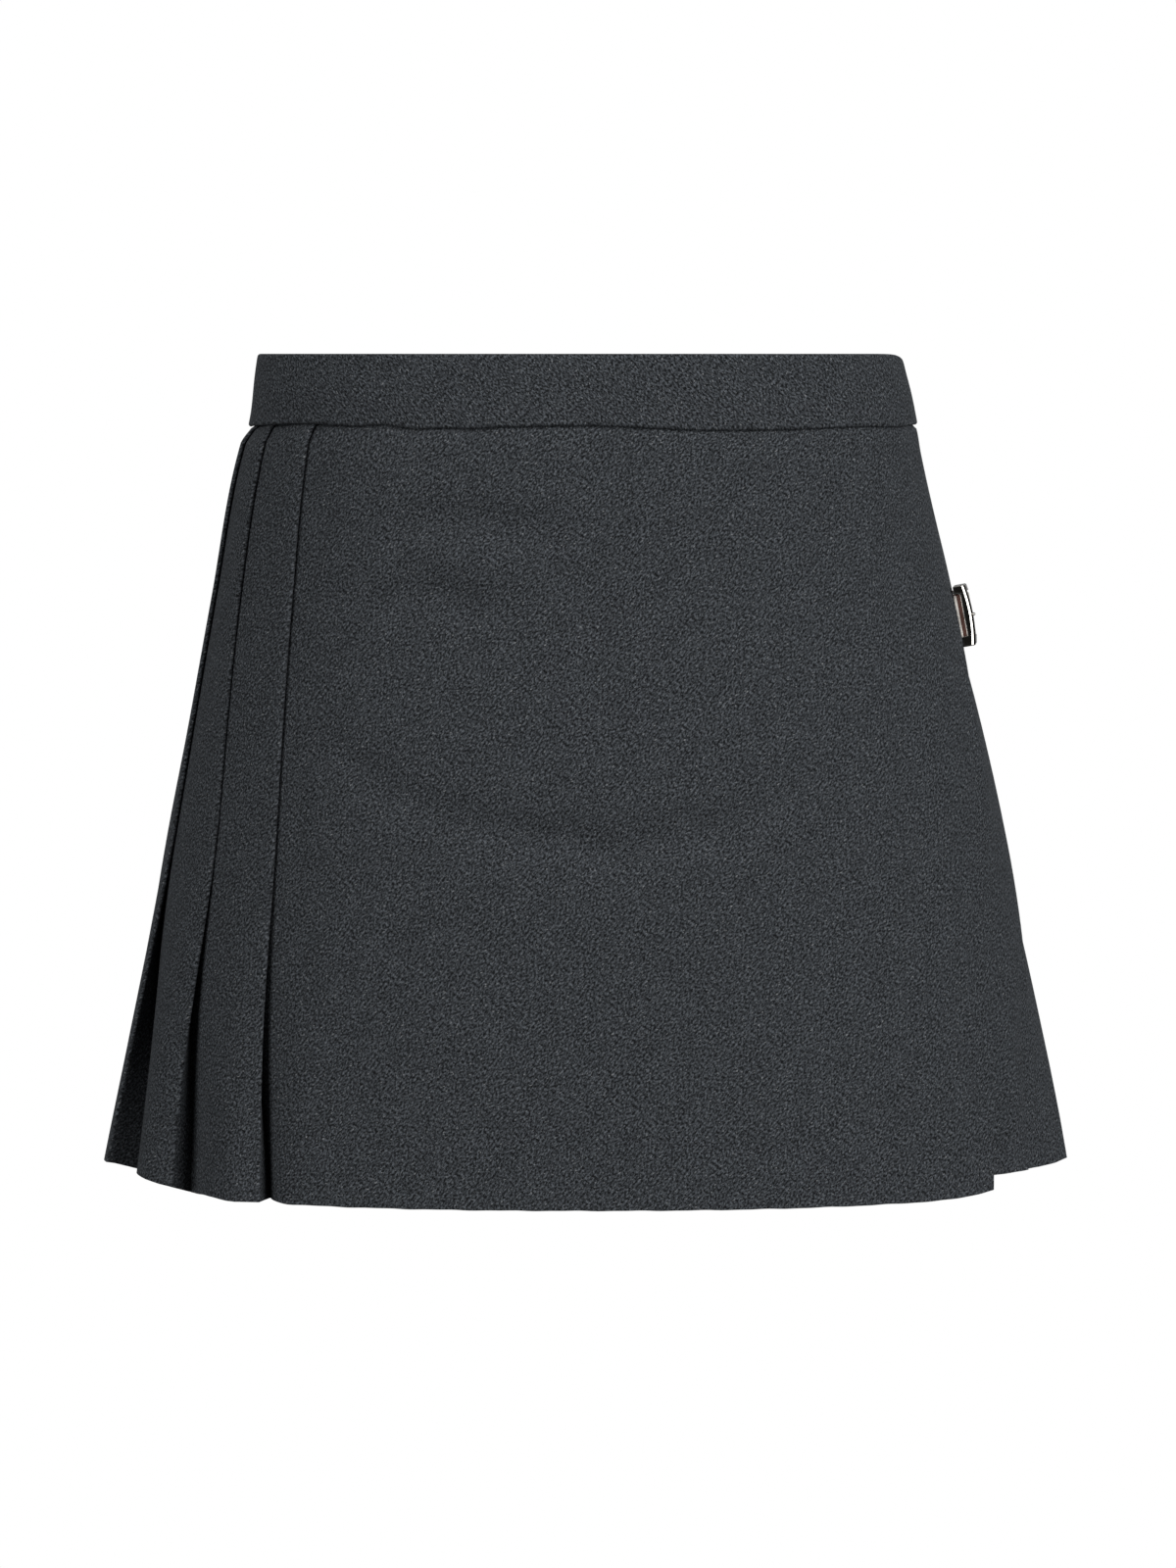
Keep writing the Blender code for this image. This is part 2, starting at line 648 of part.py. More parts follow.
def strip_grids(seat, path, width, wall):
    """Outer and inner points of a leather strip along its path."""
    places = [complex(spot.back, spot.out) for spot in path]
    outer = []
    inner = []
    for column in STRIP_COLUMNS:
        outer_row = []
        inner_row = []
        for index, place in enumerate(places):
            before = places[max(index - 1, 0)]
            after = places[min(index + 1, len(places) - 1)]
            half = (after - before) / abs(after - before) * 1j * wall / 2.0
            down = column * width * path[index].width
            outer_row.append(seat.strip_point((place + half).real, (place + half).imag, down))
            inner_row.append(seat.strip_point((place - half).real, (place - half).imag, down))
        outer.append(outer_row)
        inner.append(inner_row)
    return outer, inner


def build_strap(seat, leather):
    """The strap: sewn under the apron's edge, up through the frame, over its rear bar and on."""
    def solid(row, column):
        in_hole = STRAP_HOLE[0] <= STRAP_PATH[column].back < STRAP_HOLE[1]
        return row != MIDDLE_STRIP or not in_hole

    add_object("strap", wall_mesh(*strip_grids(seat, STRAP_PATH, STRAP_WIDTH, STRAP_WALL), solid), leather)


def chape_path():
    """The chape: forward along the pleats, round the rear bar and back over itself."""
    half_length = REAR_BAR / 2.0 + CHAPE_CLEAR + CHAPE_WALL / 2.0
    half_height = REAR_BAR_WALL / 2.0 + CHAPE_CLEAR + CHAPE_WALL / 2.0
    turn = ellipse(complex(BAR_SPAN, REAR_BAR_OUT), complex(half_length, half_height), CHAPE_FROM, HOOK_TO)
    return CHAPE_UNDER + tuple(Spot(place.real, place.imag, 1.0) for place in turn) + CHAPE_OVER


def build_chape(seat, leather):
    """The leather tab that holds the rear bar, with a slot for the prong's hook."""
    path = chape_path()

    def solid(row, column):
        in_slot = max(path[column].back, path[column + 1].back) < CHAPE_SLOT_END
        return row != MIDDLE_STRIP or not in_slot

    add_object("chape", wall_mesh(*strip_grids(seat, path, CHAPE_WIDTH, CHAPE_WALL), solid), leather)


def remove_everything():
    """Clear the scene's objects."""
    for old in list(bpy.data.objects):
        bpy.data.objects.remove(old, do_unlink=True)


def main():
    """Build every piece."""
    remove_everything()
    wool = material("wool", (0.043, 0.048, 0.055), 0.9)
    steel = material("polished_steel", (0.75, 0.74, 0.71), 0.15, 1.0)
    build_waistband(wool)
    build_panels(wool)
    seat = BuckleSeat()
    leather = material("leather", (0.66, 0.62, 0.55), 0.5)
    build_strap(seat, leather)
    build_frame(seat, steel)
    build_prong(seat, steel)
    build_chape(seat, leather)


main()
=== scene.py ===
"""The looks of a wrapped mini skirt in charcoal wool, worn by nobody.

The skirt has a folded waistband, a plain apron in front, knife pleats round the back, an
under-apron, and at the wearer's left hip a leather strap with a small polished buckle.

Every cloth piece follows the outline of the skirt. At each depth below the waist the outline is a
ring, and a place on the cloth is given by two lengths in millimetres: the distance along the ring,
measured from the front centre towards -X and on round the back, and the offset out of it.
"""

from __future__ import annotations

import logging
import math
from dataclasses import dataclass, field
from enum import Enum
from typing import NamedTuple, Sequence

import bmesh
import bpy
import numpy as np
from bmesh.types import BMesh, BMVert
from bpy.types import Material, Node, NodeOutputs, NodeSocket, NodeTree, Object
from mathutils import Matrix, Vector
from numpy import ndarray

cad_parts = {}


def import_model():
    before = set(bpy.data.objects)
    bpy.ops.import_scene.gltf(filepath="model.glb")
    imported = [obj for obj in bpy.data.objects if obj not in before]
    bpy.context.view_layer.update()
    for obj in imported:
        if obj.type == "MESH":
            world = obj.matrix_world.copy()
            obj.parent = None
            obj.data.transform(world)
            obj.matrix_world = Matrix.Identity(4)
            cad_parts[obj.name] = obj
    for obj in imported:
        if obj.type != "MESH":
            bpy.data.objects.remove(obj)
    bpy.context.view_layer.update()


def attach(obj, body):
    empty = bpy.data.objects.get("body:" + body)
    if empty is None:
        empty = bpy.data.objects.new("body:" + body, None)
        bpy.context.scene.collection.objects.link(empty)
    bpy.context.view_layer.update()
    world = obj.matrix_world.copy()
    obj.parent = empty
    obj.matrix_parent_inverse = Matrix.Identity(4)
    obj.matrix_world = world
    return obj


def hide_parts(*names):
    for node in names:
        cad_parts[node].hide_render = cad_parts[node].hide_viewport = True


LOG = logging.getLogger("skirt")
MM = 0.001
BODY = "root"
Colour = tuple[float, float, float]
Span = tuple[float, float]


# ---------------- the outline of the skirt
class Section(NamedTuple):
    """One row of the outline's table, in millimetres.

    depth is below the waistband's top edge, and left, right, front and back are how far the ring
    reaches. The last four are lengths along the ring from the front centre: towards -X to the
    edges of the first and second pleats, and towards +X to the apron's edge and the last fold.
    """

    depth: float
    left: float
    right: float
    front: float
    back: float
    first_fold: float
    second_fold: float
    apron_edge: float
    last_fold: float


SECTIONS = (
    Section(0, 143.5, 136.5, 92, 92, 124, 150, 216, 245),
    Section(31.5, 148, 143, 95, 96, 124.5, 153, 213, 245),
    Section(40, 153, 144.5, 97, 101, 127, 156, 211, 245),
    Section(105, 165.5, 160, 104, 117, 133, 166.5, 197, 246),
    Section(150, 174, 172.5, 110, 126, 136, 170, 190.5, 244.5),
    Section(200, 183.8, 184, 116, 133, 138.5, 172.5, 190, 240.5),
    Section(300, 203, 203.5, 126, 144, 143.5, 186.5, 185.5, 221),
    Section(353, 215, 214.5, 131, 149, 143.5, 190, 182, 208.5),
)
ROUNDNESS = 2.3  # exponent of the ring's superellipse
RING_SAMPLES = 1440
BAND_HEIGHT = 31.2
BAND_LAYER = 3  # how much deeper the wrap lies after one turn
PANEL_TOP = 31.5
HEM_DEPTH = 350.5
HEM_DROOP = 8  # how much lower the hem hangs across the front
DROOP_FULL = 0.130  # as far as this share of the ring from the front centre
DROOP_END = 0.211  # and nothing beyond this share
HEM_FALL = 0.3  # how much lower a pleat hangs at the hem for each length that it lies in
# The waist seam's height above its level, at lengths along the ring.
SEAM_WANDER = (
    (-163, 0.4), (-150, -0.2), (-128, 0.2), (-115, 0), (-101, -0.4), (-88, -1),
    (-50, -1), (-37, -0.6), (-25, 0), (-13, 0.6), (0, 1), (25, 0.6), (37, 0.4),
    (50, -0.4), (62, 0), (75, -0.6), (87, 1.4), (100, 0.6), (113, 1), (128, 1.6),
    (150, 0.8), (190, -0.5), (225, 0.7), (260, 0.2), (300, -0.8), (345, 0.6),
    (390, -0.3), (440, 0.9), (500, -0.6), (560, 0.5),
)


def lerp(first: float, second: float, share: float) -> float:
    """Straight mix of two values."""
    return first + (second - first) * share


def smooth_step(share: float | ndarray) -> float | ndarray:
    """0 to 1 with level ends, for shares that may lie outside 0 to 1."""
    held = np.clip(share, 0, 1)
    return held * held * (3 - 2 * held)


def bell(distance: float | ndarray, width: float) -> float | ndarray:
    """1 at no distance, fading on both sides over a width."""
    return np.exp(-((distance / width) ** 2))


def arc_lengths(points: Sequence[Sequence[float]] | ndarray) -> ndarray:
    """Lengths from the start along a line of points, or along each of several lines."""
    steps = np.linalg.norm(np.diff(points, axis=-2), axis=-1)
    return np.insert(np.cumsum(steps, axis=-1), 0, 0, axis=-1)


def section_at(depth: float) -> Section:
    """The outline at a depth, on a curve that never overshoots its table.

    Args:
        depth: below the waistband's top edge.

    Returns:
        The sizes.
    """
    table = np.array(SECTIONS)
    steps = np.diff(table, axis=0)
    slopes = steps / steps[:, :1]
    product = np.maximum(slopes[:-1] * slopes[1:], 0)
    bends = 2 * product / np.where(product > 0, slopes[:-1] + slopes[1:], 1)
    bends = np.vstack([slopes[:1], bends, slopes[-1:]])
    depth = min(max(depth, table[0, 0]), table[-1, 0])
    row = min(max(int(np.searchsorted(table[:, 0], depth)) - 1, 0), len(steps) - 1)
    span = steps[row, 0]
    t = (depth - table[row, 0]) / span
    values = ((2 * t**3 - 3 * t**2 + 1) * table[row] + (t**3 - 2 * t**2 + t) * span * bends[row]
              + (3 * t**2 - 2 * t**3) * table[row + 1] + (t**3 - t**2) * span * bends[row + 1])
    return Section(*values.tolist())


class Ring:
    """The outline at one depth, addressed by the length along it."""

    def __init__(self, depth: float) -> None:
        """Trace the ring once round.

        Args:
            depth: below the waistband's top edge, in millimetres.
        """
        self.depth = depth
        self.section = section_at(depth)
        turn = np.linspace(0, 2 * math.pi, RING_SAMPLES + 1)
        across, along = -np.sin(turn), -np.cos(turn)
        side = np.where(across < 0, self.section.left, self.section.right)
        reach = np.where(along < 0, self.section.front, self.section.back)
        size = np.abs(across / side) ** ROUNDNESS + np.abs(along / reach) ** ROUNDNESS
        path = np.stack([across, along]) * size ** (-1 / ROUNDNESS)
        self.x, self.y = path
        self.lengths = arc_lengths(path.T)
        self.perimeter = float(self.lengths[-1])
        slope = np.gradient(path, axis=1)
        slope[:, 0] = slope[:, -1] = path[:, 1] - path[:, -2]
        slope /= np.hypot(*slope)
        self.out_x, self.out_y = -slope[1], slope[0]

    def points(self, lengths: ndarray, offsets: ndarray | float, lifts: ndarray | float = 0) -> ndarray:
        """Places in metres, for lengths along the ring, offsets out of it and lifts above its level."""
        at = np.mod(lengths, self.perimeter)
        x = np.interp(at, self.lengths, self.x) + np.interp(at, self.lengths, self.out_x) * offsets
        y = np.interp(at, self.lengths, self.y) + np.interp(at, self.lengths, self.out_y) * offsets
        return np.stack([x, y, np.broadcast_to(lifts - self.depth, x.shape)], axis=-1) * MM

    def point(self, length: float, offset: float) -> Vector:
        """One place in space, in metres."""
        return Vector(self.points(np.array([length]), offset)[0])

    def right_extreme(self) -> float:
        """Length along the ring of its outermost point on +X."""
        return float(self.lengths[int(np.argmax(self.x))])

    def droop(self, lengths: ndarray) -> ndarray:
        """How much lower the hem hangs at these lengths than at the sides and the back."""
        share = np.mod(lengths / self.perimeter, 1)
        share = np.minimum(share, 1 - share)
        return HEM_DROOP * smooth_step((DROOP_END - share) / (DROOP_END - DROOP_FULL))

    def hem_fall(self, places: ndarray) -> ndarray:
        """How much lower a pleat hangs where it lies in, for complex places of length and offset."""
        first, last = self.section.first_fold, self.perimeter - self.section.last_fold
        inside = np.minimum(places.real - first, last - places.real) / (self.section.second_fold - first)
        return HEM_FALL * np.clip(inside, 0, 1) * np.clip(-places.imag, 0, None)

    def seam_wander(self, lengths: ndarray) -> ndarray:
        """How far the waist seam runs above its level."""
        places, lifts = zip(*SEAM_WANDER)
        return np.interp(lengths, places, lifts, period=self.perimeter)


# ---------------- pleats as cloth round pegs
PLEATS = 16
PLEAT_CLOTH = 67  # cloth that one pleat takes up, the same from waist to hem
LAYER = 1.05  # from the middle of one pressed layer to the next
FOLD_RADIUS = LAYER / 2
PRESSED_SPARE = 0.3  # extra room between pressed layers
OPEN_DROP = 14  # from a fold's crest to the bottom of the groove, at the hem
OPEN_FROM = 205  # depth at which the pleats start to open
TUCK_PRESSED = 40  # where the apron starts to turn in before the first fold
TUCK_OPEN = 18  # and where it does at the hem
TUCK_SPARE = 1.6
TURN_STEPS = 4
BACK_STEPS = 5
FACE_STEPS = 12
BOW_SCALE = 27 / 4  # brings the bow's shape to 1 at its peak, a third of the way along


class PleatCharacter(NamedTuple):
    """How one pleat differs from an even one: real pleats never open quite alike."""

    drop: float = 1
    shift: float = 0
    bow: float = 0
    proud_open: float = 0


class Folds:
    """The pleats' folds at one depth.

    Each fold is a small peg in the plane of length (real part) and offset (imaginary part). The
    cloth runs round an outer peg, whose fold shows, and then round an inner peg, which the next
    pleat hides. face holds the direction from each outer peg to its inner one, with the apron's
    first, and back that of the hidden return after it.
    """

    def __init__(self, ring: Ring, characters: Sequence[PleatCharacter]) -> None:
        """Place the pegs and find the directions of the cloth between them.

        Args:
            ring: the outline at that depth.
            characters: how each pleat differs.
        """
        drops, shifts, bows, proud = np.array(characters).T
        number = np.arange(len(drops))
        self.first, second = ring.section.first_fold, ring.section.second_fold
        self.last = ring.perimeter - ring.section.last_fold
        pitch = (self.last - second) / (PLEATS - 1)
        opening = float(smooth_step((ring.depth - OPEN_FROM) / (HEM_DEPTH - OPEN_FROM)))
        self.bows = bows * opening
        self.tuck = lerp(TUCK_PRESSED, TUCK_OPEN, opening)
        # Each crest lies deeper than the one before, as a wrap does.
        crests = proud * opening - BAND_LAYER * np.maximum(number - 1, 0) / PLEATS
        places = np.where(number < 2, self.first, second + pitch * (number - 2) + shifts * opening)
        # From each crest to the bottom of the groove that follows it.
        slant = 1 + (PLEAT_CLOTH - pitch) / 2 / pitch
        stack = (2 * LAYER + PRESSED_SPARE) * slant
        steps = np.maximum(crests[:-1] - crests[1:] - BAND_LAYER / PLEATS, 0)
        grooves = lerp(stack, OPEN_DROP * drops[:-1], opening) + steps * slant
        grooves[0] = lerp(stack + TUCK_SPARE, OPEN_DROP, opening)
        # How far each groove's bottom lies under the next fold, for pleats of constant cloth.
        ratio = pitch / PLEAT_CLOTH
        spare, rest = (PLEAT_CLOTH - pitch * ratio) / 2, 1 - ratio * ratio
        inside = (spare * ratio) ** 2 + rest * (spare**2 - grooves[np.maximum(number[:-1], 1)] ** 2)
        underlaps = (np.sqrt(np.maximum(inside, 0)) - spare * ratio) / rest
        self.outer = places + 1j * (crests - FOLD_RADIUS)
        self.inner = places[1:] + underlaps + 1j * (crests[:-1] - grooves + FOLD_RADIUS)
        faces, backs = self.inner - self.outer[:-1], self.outer[1:] - self.inner
        self.face = np.angle(faces) - np.arcsin(2 * FOLD_RADIUS / abs(faces))
        self.face[0] = math.atan(2 * (self.inner[0].imag - FOLD_RADIUS) / (self.tuck + underlaps[0]))
        self.back = (np.angle(backs) + np.arcsin(2 * FOLD_RADIUS / abs(backs))) % (2 * math.pi)

    def inner_turn(self, number: int) -> list[complex]:
        """Cloth round an inner peg, from its face to the next return."""
        return turn_round(self.inner[number], -FOLD_RADIUS, self.face[number], self.back[number])

    def outer_turn(self, number: int, face: float) -> list[complex]:
        """Cloth round an outer peg, from a return's direction to a face's."""
        return turn_round(self.outer[number], FOLD_RADIUS, self.back[number - 1], face)

    def seam(self, number: int) -> complex:
        """Where a face ends on its inner peg."""
        return turn_round(self.inner[number], -FOLD_RADIUS, self.face[number], self.face[number])[0]


def turn_round(peg: complex, radius: float, start: float, end: float) -> list[complex]:
    """Cloth that turns round a peg between two directions; a radius below 0 puts the peg at its left."""
    return list(peg + radius * 1j * np.exp(1j * np.linspace(start, end, TURN_STEPS + 1)))


def stretch(start: complex, end: complex, steps: int, bow: float = 0) -> list[complex]:
    """Cloth strictly between two places, in this many stretches, which may bow out to its left."""
    rise = 1j * (end - start) / abs(end - start) * bow * BOW_SCALE
    shares = np.arange(1, steps) / steps
    return list(start + (end - start) * shares + rise * shares * (1 - shares) ** 2)


# ---------------- soft creases
CREASE_MARGIN = 0.05  # where on a half sine a crease starts, as a share of it
CREASE_FULLNESS = 0.6  # exponent of that sine: below 1 a crease is strong nearly to its ends


class Crease(NamedTuple):
    """A soft trough or ridge.

    path holds (length, depth) in millimetres, height is how far it stands out, or in where it is
    below 0, and width is the distance over which it fades on each side.
    """

    path: tuple[Span, ...]
    height: float
    width: float


def crease_relief(lengths: ndarray, ring: Ring, creases: Sequence[Crease]) -> ndarray:
    """How far the creases move a row of cloth out.

    Args:
        lengths: along the ring. Creases in front wrap past the front centre.
        ring: the outline at the row.
        creases: the creases.

    Returns:
        The offset at each place.
    """
    half = ring.perimeter / 2
    total = np.zeros_like(lengths)
    for path, height, width in creases:
        middle = sum(spot[0] for spot in path) / len(path)
        near = np.mod(lengths - middle + half, ring.perimeter) - half + middle
        nearest, fade, done = np.full(near.shape, np.inf), np.zeros_like(near), 0
        runs = [math.dist(*ends) for ends in zip(path, path[1:])]
        for start, end, run in zip(path, path[1:], runs):
            step_x, step_y = (end[0] - start[0]) / run, (end[1] - start[1]) / run
            away_x, away_y = near - start[0], ring.depth - start[1]
            along = np.clip(away_x * step_x + away_y * step_y, 0, run)
            distance = np.hypot(away_x - along * step_x, away_y - along * step_y)
            turn = math.pi * lerp(CREASE_MARGIN, 1 - CREASE_MARGIN, (done + along) / sum(runs))
            fade = np.where(distance < nearest, np.sin(turn) ** CREASE_FULLNESS, fade)
            nearest = np.minimum(distance, nearest)
            done += run
        total += height * fade * bell(nearest, width)
    return total


# ---------------- meshes
def grid_mesh(points: ndarray, uvs: ndarray | None = None) -> BMesh:
    """A grid whose vertices are moved to given places.

    Args:
        points: rows down, columns along, and x, y and z in metres.
        uvs: the same, with u and v in metres.

    Returns:
        The open sheet.
    """
    rows, columns = points.shape[:2]
    uvs = np.zeros((rows, columns, 2)) if uvs is None else uvs
    made = bmesh.new()
    bmesh.ops.create_grid(made, x_segments=columns - 1, y_segments=rows - 1, size=1)
    made.verts.ensure_lookup_table()
    for vertex, place in zip(made.verts, points.reshape(-1, 3)):
        vertex.co = place
    layer, flat_uvs = made.loops.layers.uv.new("cloth"), uvs.reshape(-1, 2)
    for face in made.faces:
        for loop in face.loops:
            loop[layer].uv = flat_uvs[loop.vert.index]
    return made


def smooth_object(name: str, made: BMesh, finishes: Sequence[Material]) -> Object:
    """Put a finished bmesh into the scene, shaded smooth, and free it."""
    mesh = bpy.data.meshes.new(name)
    made.to_mesh(mesh)
    made.free()
    mesh.shade_smooth()
    for finish in finishes:
        mesh.materials.append(finish)
    return link(bpy.data.objects.new(name, mesh))


def link(item: Object) -> Object:
    """Put an object into the scene and return it."""
    bpy.context.scene.collection.objects.link(item)
    return item


def add_piece(name: str, node: str, made: BMesh,
              finishes: Sequence[Material]) -> Object:
    """Put a piece into the scene in place of a solid, and report it."""
    piece = smooth_object(name, made, finishes)
    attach(piece, BODY)
    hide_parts(node)
    LOG.info("%s: %d faces before its modifiers", name, len(piece.data.polygons))
    return piece


def thicken(piece: Object, thickness: float, rim: float = 0.3, rim_finish: int = 0) -> None:
    """Give a sheet its thickness, round its cut edges and count their material on from its own."""
    solid = piece.modifiers.new("thickness", "SOLIDIFY")
    solid.thickness = thickness * MM
    solid.offset = 0
    solid.use_even_offset = True
    solid.material_offset_rim = rim_finish
    round_off = piece.modifiers.new("soft_edges", "BEVEL")
    round_off.width = rim * MM
    round_off.segments = 2
    round_off.limit_method = "ANGLE"
    round_off.angle_limit = math.radians(60)


# ---------------- shader building
class Graph:
    """A short way to build a node tree."""

    def __init__(self, tree: NodeTree) -> None:
        """Keep the tree that nodes go into."""
        self.tree = tree

    def node(self, kind: str, *values: object, **named: object) -> NodeOutputs:
        """Add a node, with properties in lower case and inputs as fill takes them."""
        made = self.tree.nodes.new("ShaderNode" + kind)
        for key in filter(str.islower, named):
            setattr(made, key, named[key])
        self.fill(made, *values, **{key: value for key, value in named.items() if not key.islower()})
        return made.outputs

    def fill(self, node: Node, *values: object, **named: object) -> None:
        """Set or link a node's first inputs in order, and others by name with underscores for spaces."""
        sockets = [*node.inputs[:len(values)], *(node.inputs[key.replace("_", " ")] for key in named)]
        for socket, value in zip(sockets, (*values, *named.values())):
            if isinstance(value, NodeSocket):
                self.tree.links.new(value, socket)
            else:
                socket.default_value = (*value, 1) if socket.type == "RGBA" else value

    def math(self, operation: str, first: object, second: object) -> NodeSocket:
        """Add a Math node and return what it puts out."""
        return self.node("Math", first, second, operation=operation)[0]

    def mix(self, share: object, first: object, second: object) -> NodeSocket:
        """Mix two colours and return the result."""
        return self.node("Mix", Factor=share, A=first, B=second, data_type="RGBA")["Result"]

    def spread(self, value: object, *span: float) -> NodeSocket:
        """Turn the span from low to high into 0 to 1, or into a second span."""
        return self.node("MapRange", value, *span)["Result"]

    def noise(self, vector: object, detail: float) -> NodeSocket:
        """Add noise one unit in size and return its values."""
        return self.node("TexNoise", Vector=vector, Scale=1, Detail=detail)["Fac"]

    def bump(self, strength: float, distance: float, height: object) -> NodeSocket:
        """Turn a height into a normal."""
        return self.node("Bump", Strength=strength, Distance=distance, Height=height)["Normal"]

    def streaks(self, vector: object, turn: float, length: float, width: float) -> NodeSocket:
        """Coordinates in which streaks of this length and width, in metres, are one unit in size."""
        turned = self.node("Mapping", Vector=vector, Rotation=(0, 0, turn))["Vector"]
        return self.node("Mapping", Vector=turned, Scale=(1 / length, 1 / width, 1 / width))["Vector"]

    def show_to_camera(self, end: str, other: object, shown: object) -> None:
        """Let the camera see one shader and all else another, at the output node of this name."""
        mixed = self.node("MixShader", self.node("LightPath")["Is Camera Ray"], other, shown)
        self.fill(self.tree.nodes[end], Surface=mixed["Shader"])


def start_group(name: str, inputs: dict[str, str],
                outputs: dict[str, str]) -> tuple[Graph, NodeOutputs, Node]:
    """Start a node group with these kinds of sockets: its graph, its inputs and its output node."""
    tree = bpy.data.node_groups.new(name, "ShaderNodeTree")
    for way, ports in (("INPUT", inputs), ("OUTPUT", outputs)):
        for port, kind in ports.items():
            tree.interface.new_socket(name=port, in_out=way, socket_type="NodeSocket" + kind)
    return Graph(tree), tree.nodes.new("NodeGroupInput").outputs, tree.nodes.new("NodeGroupOutput")


class Effects:
    """The node groups that more than one finish uses."""

    # The turn, length and width of the streaks that make up the wool, in radians and metres.
    YARN = (0, 0.00125, 0.00088)
    FIBRE = (0.22, 0.0009, 0.00050)
    SPECK = (-0.35, 0.0015, 0.00075)
    CLOUD = (0, 0.012, 0.009)

    def __init__(self) -> None:
        """Build each group once."""
        self.melange = self._melange()
        self.grain = self._grain()

    def _melange(self) -> NodeTree:
        """Mixed dark and light wool fibres lying along a twill: a colour and a height."""
        graph, given, out = start_group(
            "melange", {"Vector": "Vector", "Turn": "Vector", "Dark": "Color", "Light": "Color",
                        "Fleck": "Color"}, {"Colour": "Color", "Height": "Float"})
        turned = graph.node("Mapping", Vector=given["Vector"], Rotation=given["Turn"])["Vector"]
        yarn = graph.noise(graph.streaks(turned, *self.YARN), 1)
        fibre = graph.noise(graph.streaks(turned, *self.FIBRE), 1)
        speck = graph.noise(graph.streaks(turned, *self.SPECK), 1)
        cloud = graph.noise(graph.streaks(turned, *self.CLOUD), 2)
        tone = graph.math("ADD", graph.math("MULTIPLY", yarn, 0.62), graph.math("MULTIPLY", fibre, 0.38))
        tone = graph.math("ADD", tone, graph.math("MULTIPLY", graph.math("SUBTRACT", cloud, 0.5), 0.06))
        tone = graph.spread(tone, 0.35, 0.68)
        body = graph.mix(graph.math("POWER", tone, 1.7), given["Dark"], given["Light"])
        flecked = graph.mix(graph.spread(speck, 0.66, 0.76), body, given["Fleck"])
        graph.fill(out, Colour=flecked, Height=tone)
        return graph.tree

    @staticmethod
    def _grain() -> NodeTree:
        """Fine pebbled grain and soft wear: a height and a mask of the worn places."""
        graph, given, out = start_group("grain", {"Vector": "Vector", "Size": "Float"},
                                        {"Height": "Float", "Wear": "Float"})
        scaled = graph.node("VectorMath", given["Vector"], given["Size"], operation="DIVIDE")["Vector"]
        cells = graph.node("TexVoronoi", Vector=scaled, Scale=1, Randomness=0.9)["Distance"]
        soft = graph.math("MULTIPLY", graph.noise(scaled, 3), 0.4)
        wide = graph.node("VectorMath", Vector=scaled, Scale=0.09, operation="SCALE")["Vector"]
        graph.fill(out, Height=graph.math("ADD", graph.spread(cells, 0, 0.6), soft),
                   Wear=graph.spread(graph.noise(wide, 3), 0.48, 0.72))
        return graph.tree


class Weave(Enum):
    """The direction of the twill on a piece, as a turn of its pattern."""

    PANEL = math.radians(52)
    BAND = math.radians(-48)


def start_material(name: str) -> tuple[Material, Graph, Node]:
    """A new material, a graph of its tree and its Principled shader."""
    made = bpy.data.materials.new(name)
    made.use_nodes = True
    return made, Graph(made.node_tree), made.node_tree.nodes["Principled BSDF"]


@dataclass(frozen=True)
class WoolFinish:
    """Charcoal wool flannel: mixed fibres, a fine twill and a soft nap."""

    name: str
    weave: Weave
    dark: Colour = (0.0030, 0.0035, 0.0042)
    light: Colour = (0.112, 0.124, 0.139)
    fleck: Colour = (0.200, 0.208, 0.215)
    nap: Colour = (0.75, 0.80, 0.85)

    def build(self, effects: Effects) -> Material:
        """Build the material on the shared groups."""
        made, graph, shader = start_material(self.name)
        place = graph.node("UVMap", uv_map="cloth")["UV"]
        wool = graph.node("Group", node_tree=effects.melange, Vector=place, Turn=(0, 0, self.weave.value),
                          Dark=self.dark, Light=self.light, Fleck=self.fleck)
        graph.fill(shader, Base_Color=wool["Colour"], Normal=graph.bump(0.4, 0.0002, wool["Height"]),
                   Roughness=0.95, Sheen_Weight=0.03, Sheen_Roughness=0.5, Sheen_Tint=self.nap,
                   Specular_IOR_Level=0.2)
        return made


@dataclass(frozen=True)
class WornFinish:
    """Leather, edge paint or polished metal, whose worn places differ in colour and gloss."""

    name: str
    colour: Colour
    worn: Colour
    roughness: float
    worn_share: float = 0.8
    grain: float = 0.0007
    bump: float = 0.25
    metallic: float = 0

    def build(self, effects: Effects) -> Material:
        """Build the material on the shared groups."""
        made, graph, shader = start_material(self.name)
        place = graph.node("TexCoord")["Object"]
        skin = graph.node("Group", node_tree=effects.grain, Vector=place, Size=self.grain)
        shine = graph.spread(skin["Wear"], 0, 1, self.roughness, self.roughness * self.worn_share)
        graph.fill(shader, Base_Color=graph.mix(skin["Wear"], self.colour, self.worn), Roughness=shine,
                   Metallic=self.metallic)
        if self.bump:
            graph.fill(shader, Normal=graph.bump(self.bump, 0.0001, skin["Height"]))
        return made


